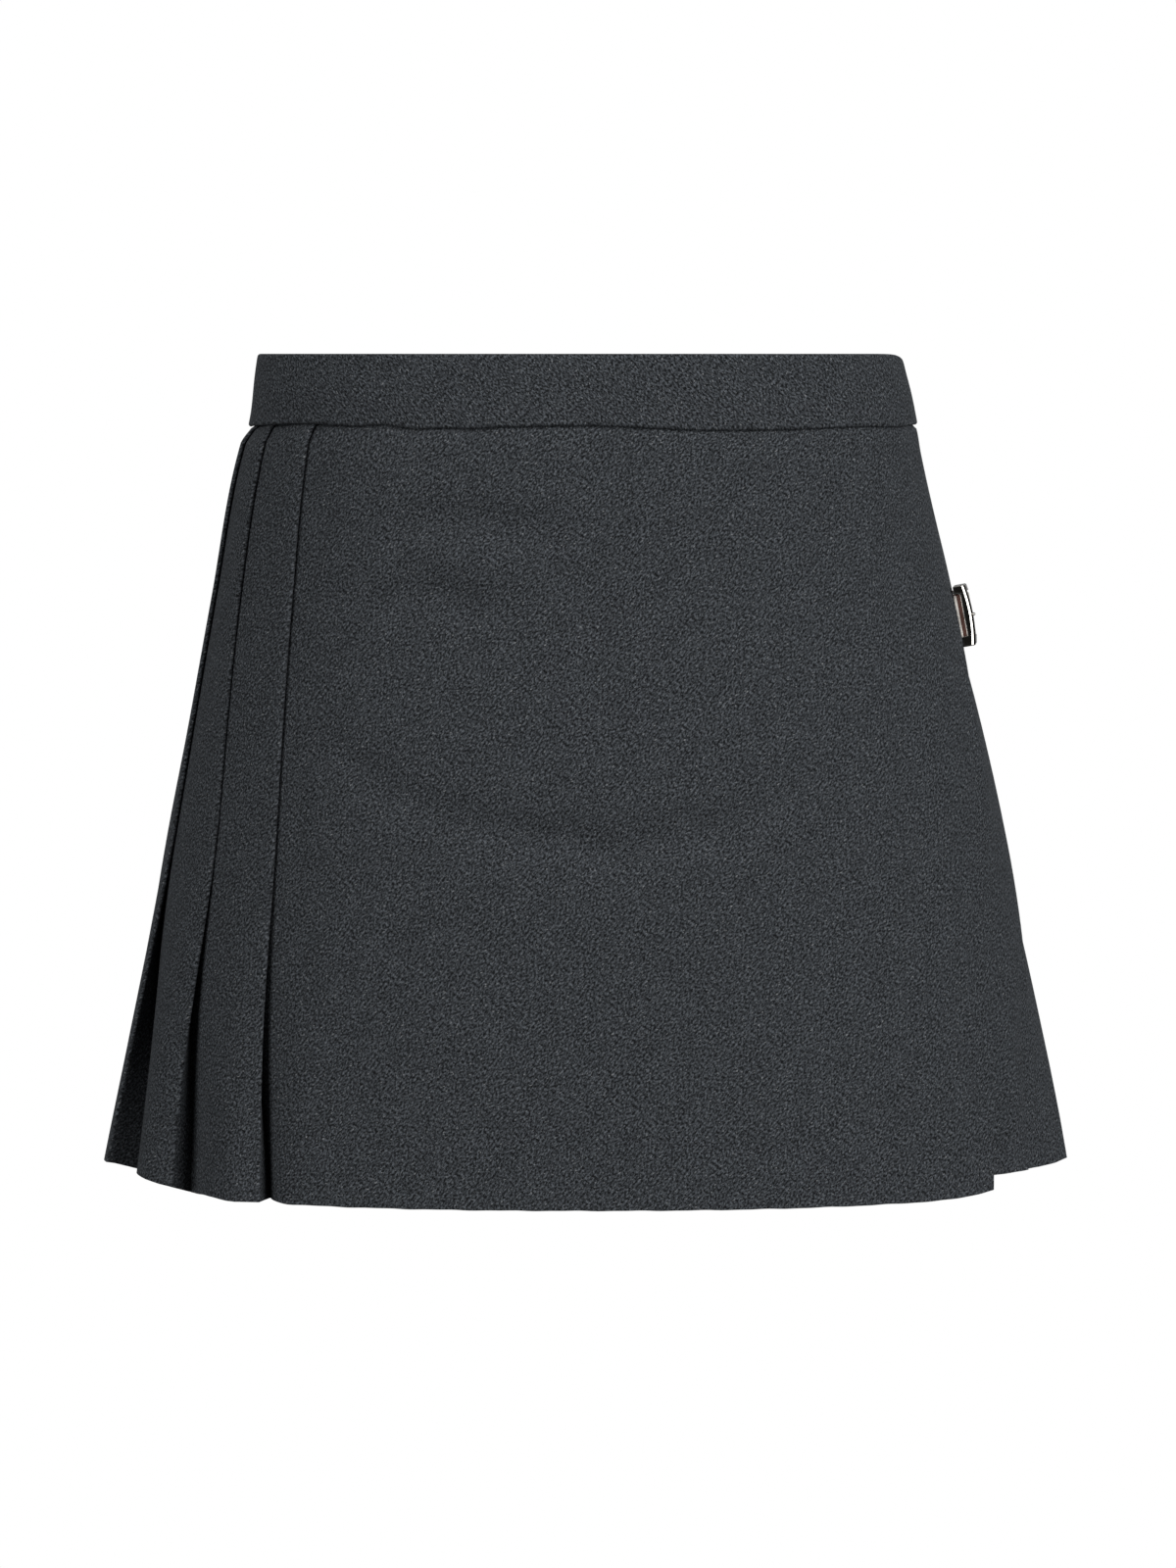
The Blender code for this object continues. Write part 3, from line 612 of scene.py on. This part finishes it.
# ---------------- the skirt's cloth
APRON_CREASES = (
    Crease(((84, 71), (46, 70), (10, 74)), -3, 8),
    Crease(((72, 86), (28, 88)), 1.6, 8),
    Crease(((96, 103), (66, 101), (36, 106)), -2.2, 8),
    Crease(((116, 160), (82, 182), (46, 195), (-14, 204), (-72, 189), (-103, 173)),
           -3.2, 7.5),
    Crease(((60, 222), (0, 236), (-60, 222)), 0.9, 13),
    Crease(((-143, 48), (-141, 80), (-138, 112), (-142, 170), (-150, 215)), -1, 9),
    Crease(((-40, 120), (-84, 132)), 0.5, 10),
    Crease(((-20, 280), (-60, 300)), -0.5, 14),
    Crease(((90, 262), (40, 282)), 0.5, 14),
    Crease(((-201, 129), (-200, 155), (-198, 205)), 1.8, 12),
    Crease(((-221, 272), (-215, 314), (-209, 356)), -1.8, 6.5),
    Crease(((-205, 250), (-201, 300), (-198, 356)), 0.9, 7),
)


@dataclass
class Skirt:
    """What all the cloth pieces share: the outline, the pleats' characters and the creases."""

    cloth: float = 0.8
    under_layer: float = 4.2
    under_end: float = 85
    seam_fade: float = 9
    tuck: float = 2
    tuck_run: float = 1.2
    swell: float = 0.15
    swell_below: float = 6
    swell_run: float = 3
    hidden_top: float = 4.4
    ripples: tuple[Span, ...] = ((0.1, 4.3), (0.06, 2.1))
    creases: tuple[Crease, ...] = APRON_CREASES
    seed: int = 7
    characters: list[PleatCharacter] = field(init=False)

    def __post_init__(self) -> None:
        """Give each pleat its own small differences, at random where none show in front."""
        chance = np.random.default_rng(self.seed)
        self.characters = [PleatCharacter(), PleatCharacter(bow=6), PleatCharacter(bow=5),
                           PleatCharacter(bow=3, proud_open=1.8), PleatCharacter(bow=3, proud_open=-2.4)]
        for _ in range(len(self.characters), PLEATS + 1):
            self.characters.append(PleatCharacter(*chance.uniform((0.9, -1.6, 1.5), (1.08, 1.6, 5))))
        self.characters += [PleatCharacter(), PleatCharacter()]

    def seam_tuck(self, depth: float) -> float:
        """How far a panel stands out near the waist seam, below 0 where it goes under the band."""
        below = max(depth - BAND_HEIGHT, -1)
        return (self.swell * bell(below - self.swell_below, self.swell_run)
                - self.tuck * bell(below + 0.1, self.tuck_run))

    def place_rows(self, rows: Sequence[tuple[Ring, ndarray]], droops: bool) -> ndarray:
        """Places in space for rows of cloth.

        Args:
            rows: a ring, and complex places of length and offset on it, for each row.
            droops: whether the hem hangs lower in front.

        Returns:
            Points, rows by columns.
        """
        points = []
        for ring, places in rows:
            lengths = places.real
            share = (ring.depth - PANEL_TOP) / (HEM_DEPTH - PANEL_TOP)
            lift = ring.seam_wander(lengths) * bell(max(ring.depth - BAND_HEIGHT, 0), self.seam_fade)
            lift += sum(height * np.sin(lengths / run) for height, run in self.ripples) * share**6
            if droops:
                lift -= (ring.droop(lengths) + ring.hem_fall(places)) * share
            out = places.imag + crease_relief(lengths, ring, self.creases) + self.seam_tuck(ring.depth)
            points.append(ring.points(lengths, out, lift))
        return np.array(points)

    def row_depths(self, count: int) -> ndarray:
        """Depths of a panel's rows, closer together near the waist seam and the hem."""
        top, shares = PANEL_TOP - self.hidden_top, np.linspace(0, 1, count)
        return top + (HEM_DEPTH - top) * (shares - 0.09 * np.sin(2 * math.pi * shares))


@dataclass
class Panel:
    """A panel that hangs from the waist seam. Each kind of panel gives its own rows of cloth."""

    skirt: Skirt
    rows: int = 100
    name: str = ""
    node: str = ""
    flat: Span = (0, 0)
    droops: bool = True
    pleated: bool = True

    def row(self, ring: Ring) -> ndarray:
        """The panel's cloth at one depth, as complex places of length and offset."""
        raise NotImplementedError

    def build(self, wool: Material) -> None:
        """Build and dress it. Its UVs are the cloth's own lengths, or the ring's without pleats."""
        rows = [(ring, self.row(ring)) for ring in map(Ring, self.skirt.row_depths(self.rows))]
        points = self.skirt.place_rows(rows, self.droops)
        across = arc_lengths(points) if self.pleated else np.array([places.real for _, places in rows]) * MM
        down = arc_lengths(points[:, points.shape[1] // 2])
        uvs = np.stack([across, np.broadcast_to(-down[:, None], across.shape)], axis=-1)
        piece = add_piece(self.name, self.node, grid_mesh(points, uvs), [wool])
        thicken(piece, self.skirt.cloth)


@dataclass
class Apron(Panel):
    """The plain outer front panel."""

    rows: int = 118
    columns: int = 132
    name: str = "apron_cloth"
    node: str = "apron"
    flat: Span = (0.360, 0.330)
    pleated: bool = False

    def row(self, ring: Ring) -> ndarray:
        """The apron's cloth at one depth: from its open edge to the seam inside the first pleat."""
        folds = Folds(ring, self.skirt.characters)
        seam, bend = folds.seam(0), folds.first - folds.tuck
        lengths = np.linspace(-ring.section.apron_edge, seam.real, self.columns + 1)
        share = np.clip((lengths - bend) / (seam.real - bend), 0, None)
        return lengths + 1j * seam.imag * share * share


@dataclass
class PleatedPanel(Panel):
    """The knife pleats, from the left front round the back to the right hip."""

    name: str = "pleats_cloth"
    node: str = "pleated_panel"
    flat: Span = (1.072, 0.326)

    def row(self, ring: Ring) -> ndarray:
        """The panel's cloth at one depth: from the first inner fold to before the last."""
        folds = Folds(ring, self.skirt.characters)
        row = folds.inner_turn(0)
        for number in range(1, PLEATS + 1):
            outer = folds.outer_turn(number, folds.face[number])
            row += stretch(row[-1], outer[0], BACK_STEPS) + outer
            if number < PLEATS:
                inner = folds.inner_turn(number)
                row += stretch(row[-1], inner[0], FACE_STEPS, folds.bows[number]) + inner
        seam = folds.seam(PLEATS)
        return np.array(row + stretch(row[-1], seam, FACE_STEPS) + [seam])


@dataclass
class UnderApron(Panel):
    """The last pleat and the plain inner front panel that the apron lies on."""

    rows: int = 70
    columns: int = 90
    name: str = "under_apron_cloth"
    node: str = "under_apron"
    flat: Span = (0.378, 0.322)
    droops: bool = False

    def row(self, ring: Ring) -> ndarray:
        """The panel's cloth at one depth: the last fold, then the panel beneath the apron."""
        folds = Folds(ring, self.skirt.characters)
        row = folds.inner_turn(PLEATS)
        outer = folds.outer_turn(PLEATS + 1, 0)
        row += stretch(row[-1], outer[0], BACK_STEPS) + outer
        start = row[-1]
        strip = ring.section.last_fold - ring.section.apron_edge
        lengths = np.linspace(start.real, ring.perimeter + self.skirt.under_end, self.columns + 1)[1:]
        share = smooth_step((lengths - start.real) / strip)
        return np.concatenate([row, lengths + 1j * lerp(start.imag, -self.skirt.under_layer, share)])


@dataclass
class Waistband:
    """One straight strip, folded along its top edge, that goes round and ends under itself."""

    skirt: Skirt
    columns: int = 420
    outer_face: float = 1.2
    ply: float = 1.1
    thickness: float = 2.8
    curl: float = 0.75
    swell: float = 0.35
    dip: float = 3.5
    dip_width: float = 20
    notch: float = 0.5
    notch_at: float = 55
    notch_width: float = 3
    flat: Span = (1.062, 0.066)

    def profile(self) -> list[Span]:
        """Depth and offset down the strip: up the outside, over the top and down the inside."""
        outside = self.outer_face - self.ply / 2
        inside = self.outer_face - self.thickness + self.ply / 2
        half, middle = (outside - inside) / 2, (outside + inside) / 2
        low = BAND_HEIGHT - self.ply / 2
        curl = [(low - self.curl + self.curl * math.sin(turn),
                 outside - self.curl + self.curl * math.cos(turn))
                for turn in np.radians(np.linspace(150, 0, 7))]
        swell = [(depth, outside + self.swell * math.sin(math.pi * depth / BAND_HEIGHT) ** 2)
                 for depth in np.linspace(low - self.curl - 1.5, 2, 13)]
        top = [(self.ply / 2 + half - half * math.cos(turn), middle + half * math.sin(turn))
               for turn in np.radians(np.linspace(60, -60, 7))]
        return curl + swell + top + [(depth, inside) for depth in np.linspace(2, low, 8)]

    def row(self, depth: float, offset: float, seam: Folds) -> tuple[ndarray, ndarray]:
        """The band's cloth at a place of its profile: lengths along the ring, and points in space."""
        ring, share = Ring(depth), depth / BAND_HEIGHT
        end = ring.perimeter + self.skirt.under_end
        lengths = np.linspace(-ring.section.apron_edge, end, self.columns + 1)
        wrap = np.clip((lengths - seam.first) / (seam.last - seam.first), 0, 1)
        fall = (self.dip * bell(np.mod(lengths, ring.perimeter) - ring.right_extreme(), self.dip_width)
                + self.notch * bell(lengths - self.notch_at, self.notch_width))
        waves = 0.16 * np.sin(lengths / 23 + depth / 9) + 0.12 * np.sin(lengths / 9.7 - depth / 14)
        out = offset - BAND_LAYER * wrap + waves * math.sin(math.pi * min(share, 1))
        lifts = ring.seam_wander(lengths) * smooth_step(share) - fall * (1 - share)
        return lengths, ring.points(lengths, out, lifts)

    def build(self, wool: Material) -> None:
        """Build and dress the band."""
        seam, profile = Folds(Ring(PANEL_TOP), self.skirt.characters), self.profile()
        rows = [self.row(depth, offset, seam) for depth, offset in profile]
        uvs = [np.stack([lengths, np.full(lengths.shape, down)], axis=-1)
               for (lengths, _), down in zip(rows, arc_lengths(profile))]
        made = grid_mesh(np.array([points for _, points in rows]), np.array(uvs) * MM)
        bmesh.ops.reverse_faces(made, faces=made.faces)
        piece = add_piece("waistband_cloth", "waistband", made, [wool])
        thicken(piece, self.ply)


# ---------------- the strap and the buckle
class Spot(NamedTuple):
    """One place on a leather strip's path.

    back is behind the apron's open edge, along the hip, out is the middle of the leather, out of
    the ring, and width is the share of the strip's full width.
    """

    back: float
    out: float
    width: float = 1


class Strip(NamedTuple):
    """A leather strip: its solid, path, width, thickness, and where its hole starts and ends."""

    node: str
    path: Sequence[Spot]
    width: float
    wall: float
    hole: Span


STRAP = Strip("strap", (
    Spot(-22, -2.6), Spot(-17, -2.6), Spot(-12, -2.6), Spot(-7, -2.6), Spot(-2, -2.5),
    Spot(3, -2.3), Spot(6.6, -1.8), Spot(9.2, -0.4), Spot(11.6, 1.7), Spot(14, 3.9), Spot(16, 5.1),
    Spot(18, 5.5), Spot(22, 4.75), Spot(26, 3.55), Spot(31, 2.9), Spot(37, 2.7), Spot(46, 2.6),
    Spot(54, 2.6), Spot(58, 2.6, 0.88), Spot(61, 2.6, 0.6), Spot(62.5, 2.6, 0.25),
), 18.2, 1.7, (13.4, 18.4))
CHAPE_UNDER = (Spot(45, -0.5), Spot(35, -0.5), Spot(27, -0.5), Spot(21.5, -0.65))
CHAPE_OVER = (Spot(21.5, 2.75), Spot(25.5, 1.8), Spot(29.5, 1.15), Spot(34, 0.92), Spot(40, 0.9),
              Spot(45, 0.9))


@dataclass
class Buckle:
    """The buckle's seat, its frame, its prong, and the two leather strips that it joins."""

    depth: float = 114.3
    lean: float = math.radians(10.5)
    frame_height: float = 26.7
    bar_span: float = 17.7
    rail: float = 3.1
    low_rail: float = 4.2
    front_bar: float = 4
    frame_out: float = 6
    frame_in: float = 0.55
    low_rail_in: float = -0.9
    rail_end_in: float = 0.2
    front_bar_in: float = 3.4
    frame_bow: float = 1.3
    frame_round: float = 2.4
    frame_fall: float = 0.3
    frame_bevel: float = 0.45
    rear_bar: float = 2.6
    rear_bar_wall: float = 2
    rear_bar_out: float = 1.1
    prong_seat: float = 0.55
    prong_radius: float = 0.7
    hole_width: float = 2.6
    # lengths behind the apron's edge where a dark band of edge paint runs straight across the strap, in the
    # frame's window
    dark_band_span: Span = (9.6, 11.3)
    chape_width: float = 16
    chape_wall: float = 1.2
    chape_slot: Span = (-99, 23.5)
    chape_clear: float = 0.5
    flat_from: float = 2
    flat_run: float = 7
    cell: float = 0.9

    def __post_init__(self) -> None:
        """Find the ring that the buckle sits on, where its bars cross it, and its window."""
        self.ring = Ring(self.depth)
        self.edge = self.ring.perimeter - self.ring.section.apron_edge
        self.front, self.rear = self.ring.point(self.edge, 0), self.ring.point(self.edge - self.bar_span, 0)
        self.forward = (self.front - self.rear).normalized()
        middle = self.bar_span / 2
        self.behind, self.ahead = self.rear_bar / 2 - middle, middle - self.front_bar / 2

    def leaning_axes(self, level_out: Vector) -> tuple[Vector, Vector]:
        """Steps out of the leather and down it, for a level step out."""
        rise, cosine, sine = Vector((0, 0, 1)), math.cos(self.lean), math.sin(self.lean)
        return level_out * cosine + rise * sine, level_out * sine - rise * cosine

    def axes_at(self, back: float) -> tuple[Vector, Vector]:
        """Steps out of the leather and down it, at a length behind the apron's edge."""
        foot = self.ring.point(self.edge - back, 0)
        return self.leaning_axes((self.ring.point(self.edge - back, 1) - foot).normalized())

    def strip_point(self, back: float, offset: float, down: float) -> Vector:
        """A place on a strip: on the cloth under the apron, and level with the frame past it."""
        out, fall = self.axes_at(back)
        flat = self.ring.point(self.edge - back, 0) + (out * offset + fall * down) * MM
        ring = Ring(self.depth + down * math.cos(self.lean))
        past_hip = self.edge - self.ring.right_extreme()
        on_cloth = ring.point(ring.right_extreme() + past_hip - back, offset)
        return on_cloth.lerp(flat, float(smooth_step((back - self.flat_from) / self.flat_run)))

    def frame_row(self, height: float, on_rail: bool) -> ndarray:
        """The frame's form at one height, from its rear end to its rounded front.

        Args:
            height: above the frame's middle.
            on_rail: whether the rails are there, and not just the bars.

        Returns:
            Places on the outer face, then those under them, each as forward, out and up.
        """
        out = self.frame_out + self.frame_bow * (1 - (height / self.frame_height * 2) ** 2)
        rear_out, rear_in = (self.rear_bar_out + side * self.rear_bar_wall / 2 for side in (1, -1))
        front_in, rear_end = self.front_bar_in, rear_out
        if on_rail:
            rear_out, rear_in = out - self.frame_fall, self.rail_end_in
            front_in, rear_end = self.frame_in if height > 0 else self.low_rail_in, rear_out - self.frame_fall
        front, size = self.ahead + self.front_bar, self.frame_round
        outer = [(self.behind - self.rear_bar, rear_end), (self.behind, rear_out), (self.ahead, out - 0.25)]
        outer += [(front - size + size * math.sin(turn), out - size + size * math.cos(turn))
                  for turn in np.radians(np.linspace(0, 90, 9))]
        inner = [(self.behind - self.rear_bar, rear_in), (self.behind, rear_in)]
        inner += [(at, front_in) for at in np.linspace(self.ahead, front, 10)]
        return np.array([[(at, up, height) for at, up in face] for face in (outer, inner)]) * MM

    def add_metal(self, name: str, node: str, made: BMesh, steel: Material) -> Object:
        """Seat a metal form on the frame's axes: X forward along the hip, Y out, Z up."""
        out, fall = self.leaning_axes(Vector((-self.forward.y, self.forward.x, 0)))
        axes = Matrix((self.forward, out, -fall)).transposed().to_4x4()
        seat = Matrix.Translation((self.front + self.rear) / 2) @ axes
        bmesh.ops.transform(made, matrix=seat, verts=made.verts)
        return add_piece(name, node, made, [steel])

    def build_frame(self, steel: Material) -> None:
        """The rectangular frame: deep rails, a raised front bar and a slim rear bar.

        Args:
            steel: its finish.
        """
        half = self.frame_height / 2
        top, foot = half - self.rail, self.low_rail - half
        heights = (-half, -half + 2.1, foot, foot + 0.5, -6.5, -3.5, 0, 3.5, 6.5, top - 0.5, top,
                   half - 1.5, half)
        faces = np.array([self.frame_row(height, not foot < height < top) for height in heights])
        made = grid_mesh(faces[:, 0])
        centres = [(face, face.calc_center_median() / MM) for face in made.faces]
        window = [face for face, at in centres if foot < at.z < top and self.behind < at.x < self.ahead]
        bmesh.ops.delete(made, geom=window, context="FACES")
        grown = bmesh.ops.extrude_face_region(made, geom=list(made.faces), use_keep_orig=True)
        originals, places = (faces[:, side].reshape(-1, 3) for side in (0, 1))
        for vertex in (part for part in grown["geom"] if isinstance(part, BMVert)):
            vertex.co = places[int(np.argmin(np.linalg.norm(originals - np.array(vertex.co), axis=1)))]
        bmesh.ops.recalc_face_normals(made, faces=made.faces)
        made.normal_update()
        sharp = [edge for edge in made.edges if edge.is_convex and edge.calc_face_angle(0) > math.radians(40)]
        bmesh.ops.bevel(made, geom=sharp, offset=self.frame_bevel * MM, offset_type="OFFSET", segments=3,
                        profile=0.5, affect="EDGES", material=-1)
        piece = self.add_metal("buckle_frame_metal", "buckle_frame", made, steel)
        piece.modifiers.new("even_normals", "WEIGHTED_NORMAL")

    def build_prong(self, steel: Material) -> None:
        """The tongue: a hook round the rear bar and a stem that lies on the front bar.

        Args:
            steel: its finish.
        """
        bar = complex(-self.bar_span / 2, self.rear_bar_out)
        places = [bar + complex(2.5 * math.cos(turn), 2.2 * math.sin(turn))
                  for turn in np.radians(np.arange(-30, -271, -15))]
        top = self.frame_out + self.frame_bow - self.prong_seat + self.prong_radius
        above, start = complex(self.bar_span / 2, top), places[-1]
        places += [lerp(start, above - 2.6, share) for share in (0.35, 0.7, 0.93)]
        places += [above + at for at in (-1.9, -0.6, 0.7, 1.2)]
        radii = [self.prong_radius] * (len(places) - 3) + [0.66, 0.58, 0.3]
        turns = np.linspace(0, 2 * math.pi, 15)
        rings = []
        for before, place, after, radius in zip(places[:1] + places, places, places[1:] + places[-1:], radii):
            across = (after - before) / abs(after - before) * 1j
            spots = place + across * radius * np.cos(turns)
            rings.append(np.stack([spots.real, spots.imag, radius * np.sin(turns)], axis=-1) * MM)
        made = grid_mesh(np.array(rings))
        bmesh.ops.remove_doubles(made, verts=made.verts, dist=1e-6)
        bmesh.ops.holes_fill(made, edges=[edge for edge in made.edges if edge.is_boundary])
        bmesh.ops.recalc_face_normals(made, faces=made.faces)
        self.add_metal("buckle_prong_metal", "buckle_prong", made, steel)

    def strip_points(self, strip: Strip, across: Sequence[float]) -> ndarray:
        """A strip's middle surface: rows at shares of its width, along its smoothed path."""
        keys = arc_lengths([spot[:2] for spot in strip.path])
        at = np.linspace(0, keys[-1], max(int(keys[-1] / self.cell), 12) + 1)
        backs, outs, widths = (np.interp(at, keys, column) for column in zip(*strip.path))
        for line in (backs, outs) * 3:
            line[1:-1] = np.convolve(line, (0.25, 0.5, 0.25), "valid")
        return np.array([[self.strip_point(back, out, share * width) for back, out, width
                          in zip(backs, outs, widths * strip.width)] for share in across])

    def build_leather(self, strip: Strip, finishes: Sequence[Material]) -> None:
        """One leather strip with its hole.

        Args:
            strip: the strip.
            finishes: the leather and the paint on its edges.
        """
        slit = self.hole_width / 2 / strip.width
        upper = (0.5, 0.42, 0.3, 0.2, slit, slit / 2)
        across = np.array([*upper, 0, *(-share for share in reversed(upper))])
        points = self.strip_points(strip, across)
        lengths = arc_lengths(points)
        uvs = np.stack([lengths, np.broadcast_to(across[:, None] * strip.width * MM, lengths.shape)], axis=-1)
        made = grid_mesh(points, uvs)
        fall = self.axes_at(self.bar_span / 2)[1]
        cut = []
        for face in made.faces:
            away = (face.calc_center_median() - self.front) / MM
            back = -away.dot(self.forward)
            if strip.hole[0] < back < strip.hole[1] and abs(away.dot(fall)) < self.hole_width / 2:
                cut.append(face)
            # Faces in this span of the strap take the edge paint: a dark band across it, where it climbs
            # through the frame's window towards the rear bar
            elif strip is STRAP and self.dark_band_span[0] < back < self.dark_band_span[1]:
                face.material_index = 1
        bmesh.ops.delete(made, geom=cut, context="FACES")
        piece = add_piece(strip.node + "_leather", strip.node, made, finishes)
        thicken(piece, strip.wall, 0.35, rim_finish=1)

    def chape(self) -> Strip:
        """The chape: forward along the pleats, round the rear bar and back over itself."""
        length, height = ((size + self.chape_wall) / 2 + self.chape_clear
                          for size in (self.rear_bar, self.rear_bar_wall))
        turn = (Spot(self.bar_span + length * math.cos(angle), self.rear_bar_out + height * math.sin(angle))
                for angle in np.radians(np.arange(-90, -271, -20)))
        path = (*CHAPE_UNDER, *turn, *CHAPE_OVER)
        return Strip("chape", path, self.chape_width, self.chape_wall, self.chape_slot)

    def build(self, steel: Material, leather: Sequence[Material]) -> None:
        """Build and dress the buckle and its leather."""
        self.build_frame(steel)
        self.build_prong(steel)
        self.build_leather(STRAP, leather)
        self.build_leather(self.chape(), leather)


# ---------------- the studio
WHITE = (1, 1, 1)


@dataclass
class Studio:
    """A pale bowl of floor and wall, soft lights, and the camera at the photograph's angle."""

    distance: float = 2.5
    tilt: float = math.radians(4.318)
    lens: float = 130.814
    floor_below: float = 0.62
    floor_radius: float = 5
    wall_radius: float = 2.5
    wall_height: float = 3
    pale: Colour = (0.75, 0.75, 0.75)
    dark: Colour = (0.03, 0.03, 0.028)
    light_size: Span = (2.3, 3.8)
    light_distance: float = 3.5
    light_turn: float = math.radians(49)

    def build_camera(self) -> None:
        """Place the camera in front, level with the waist and tilted down a little."""
        data = bpy.data.cameras.new("camera")
        data.lens, data.sensor_width = self.lens, 36
        camera = link(bpy.data.objects.new("camera", data))
        camera.location = (0, -self.distance, 0)
        camera.rotation_euler = (math.pi / 2 - self.tilt, 0, 0)
        bpy.context.scene.camera = camera

    def bowl(self) -> BMesh:
        """Spin the floor's and the wall's outline once round."""
        made, wall = bmesh.new(), self.floor_radius + self.wall_radius
        spots = [(self.floor_radius + self.wall_radius * math.sin(turn),
                  self.wall_radius * (1 - math.cos(turn))) for turn in np.linspace(0, math.pi / 2, 13)]
        spots = [(0, 0), *spots, (wall, self.wall_height + self.wall_radius)]
        corners = [made.verts.new((reach, 0, rise - self.floor_below)) for reach, rise in spots]
        for ends in zip(corners, corners[1:]):
            made.edges.new(ends)
        bmesh.ops.spin(made, geom=[*made.verts, *made.edges], cent=(0, 0, 0), axis=(0, 0, 1),
                       angle=2 * math.pi, steps=96, use_merge=True)
        bmesh.ops.remove_doubles(made, verts=made.verts, dist=1e-5)
        bmesh.ops.recalc_face_normals(made, faces=made.faces)
        return made

    def build_floor(self) -> None:
        """Finish the bowl: white to the camera, and dark to the rest at its far side."""
        finish, graph, shader = start_material("studio_white")
        ahead = graph.node("SeparateXYZ", graph.node("TexCoord")["Object"])["Y"]
        shade = graph.mix(graph.spread(ahead, 4.4, 5.8), self.dark, self.pale)
        graph.fill(shader, Base_Color=shade, Roughness=0.9)
        glow = graph.node("Emission", Color=WHITE)["Emission"]
        graph.show_to_camera("Material Output", shader.outputs["BSDF"], glow)
        smooth_object("studio_floor", self.bowl(), [finish])

    def build_light(self, name: str, turn: float, rise: float, power: float) -> Object:
        """A wide soft light, turned from the camera towards +X, this high in metres and with this power."""
        data = bpy.data.lights.new(name, "AREA")
        data.shape, data.energy = "RECTANGLE", power
        data.size, data.size_y = self.light_size
        light = link(bpy.data.objects.new(name, data))
        light.location = (self.light_distance * math.sin(turn), -self.light_distance * math.cos(turn), rise)
        aim = Vector((0, 0, -0.2)) - light.location
        light.rotation_euler = aim.to_track_quat("-Z", "Y").to_euler()
        return light

    def build_air(self) -> None:
        """White where the camera sees past the wall, and dim for all else."""
        world = bpy.data.worlds.new("studio_air")
        world.use_nodes = True
        graph, white = Graph(world.node_tree), world.node_tree.nodes["Background"]
        graph.fill(white, Color=WHITE)
        dim = graph.node("Background", Color=WHITE, Strength=0.2)["Background"]
        graph.show_to_camera("World Output", dim, white.outputs["Background"])
        bpy.context.scene.world = world

    def build(self) -> None:
        """Build the whole studio."""
        self.build_camera()
        self.build_floor()
        self.build_air()
        self.build_light("soft_left", -self.light_turn, 0.95, 92)
        self.build_light("soft_right", self.light_turn, 0.95, 143)
        self.build_light("soft_back", math.pi, 0.9, 190).visible_glossy = False
        bpy.context.scene.view_settings.view_transform = "Standard"


def main() -> None:
    """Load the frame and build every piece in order."""
    logging.basicConfig(level=logging.INFO, format="%(name)s: %(message)s")
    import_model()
    Studio().build()
    effects = Effects()
    wool = WoolFinish("wool_panel", Weave.PANEL).build(effects)
    band_wool = WoolFinish("wool_band", Weave.BAND).build(effects)
    leather = WornFinish("ivory_leather", (0.71, 0.68, 0.64), (0.62, 0.57, 0.50), 0.42).build(effects)
    edge = WornFinish("edge_paint", (0.070, 0.030, 0.022), (0.045, 0.020, 0.015), 0.38).build(effects)
    steel = WornFinish("polished_steel", (0.80, 0.78, 0.73), (0.68, 0.66, 0.61), 0.05, worn_share=2.2,
                       grain=0.0012, bump=0, metallic=1).build(effects)
    skirt = Skirt()
    Waistband(skirt).build(band_wool)
    Apron(skirt).build(wool)
    PleatedPanel(skirt).build(wool)
    UnderApron(skirt).build(wool)
    Buckle().build(steel, [leather, edge])
    bpy.context.view_layer.update()


if __name__ == "__main__":
    main()
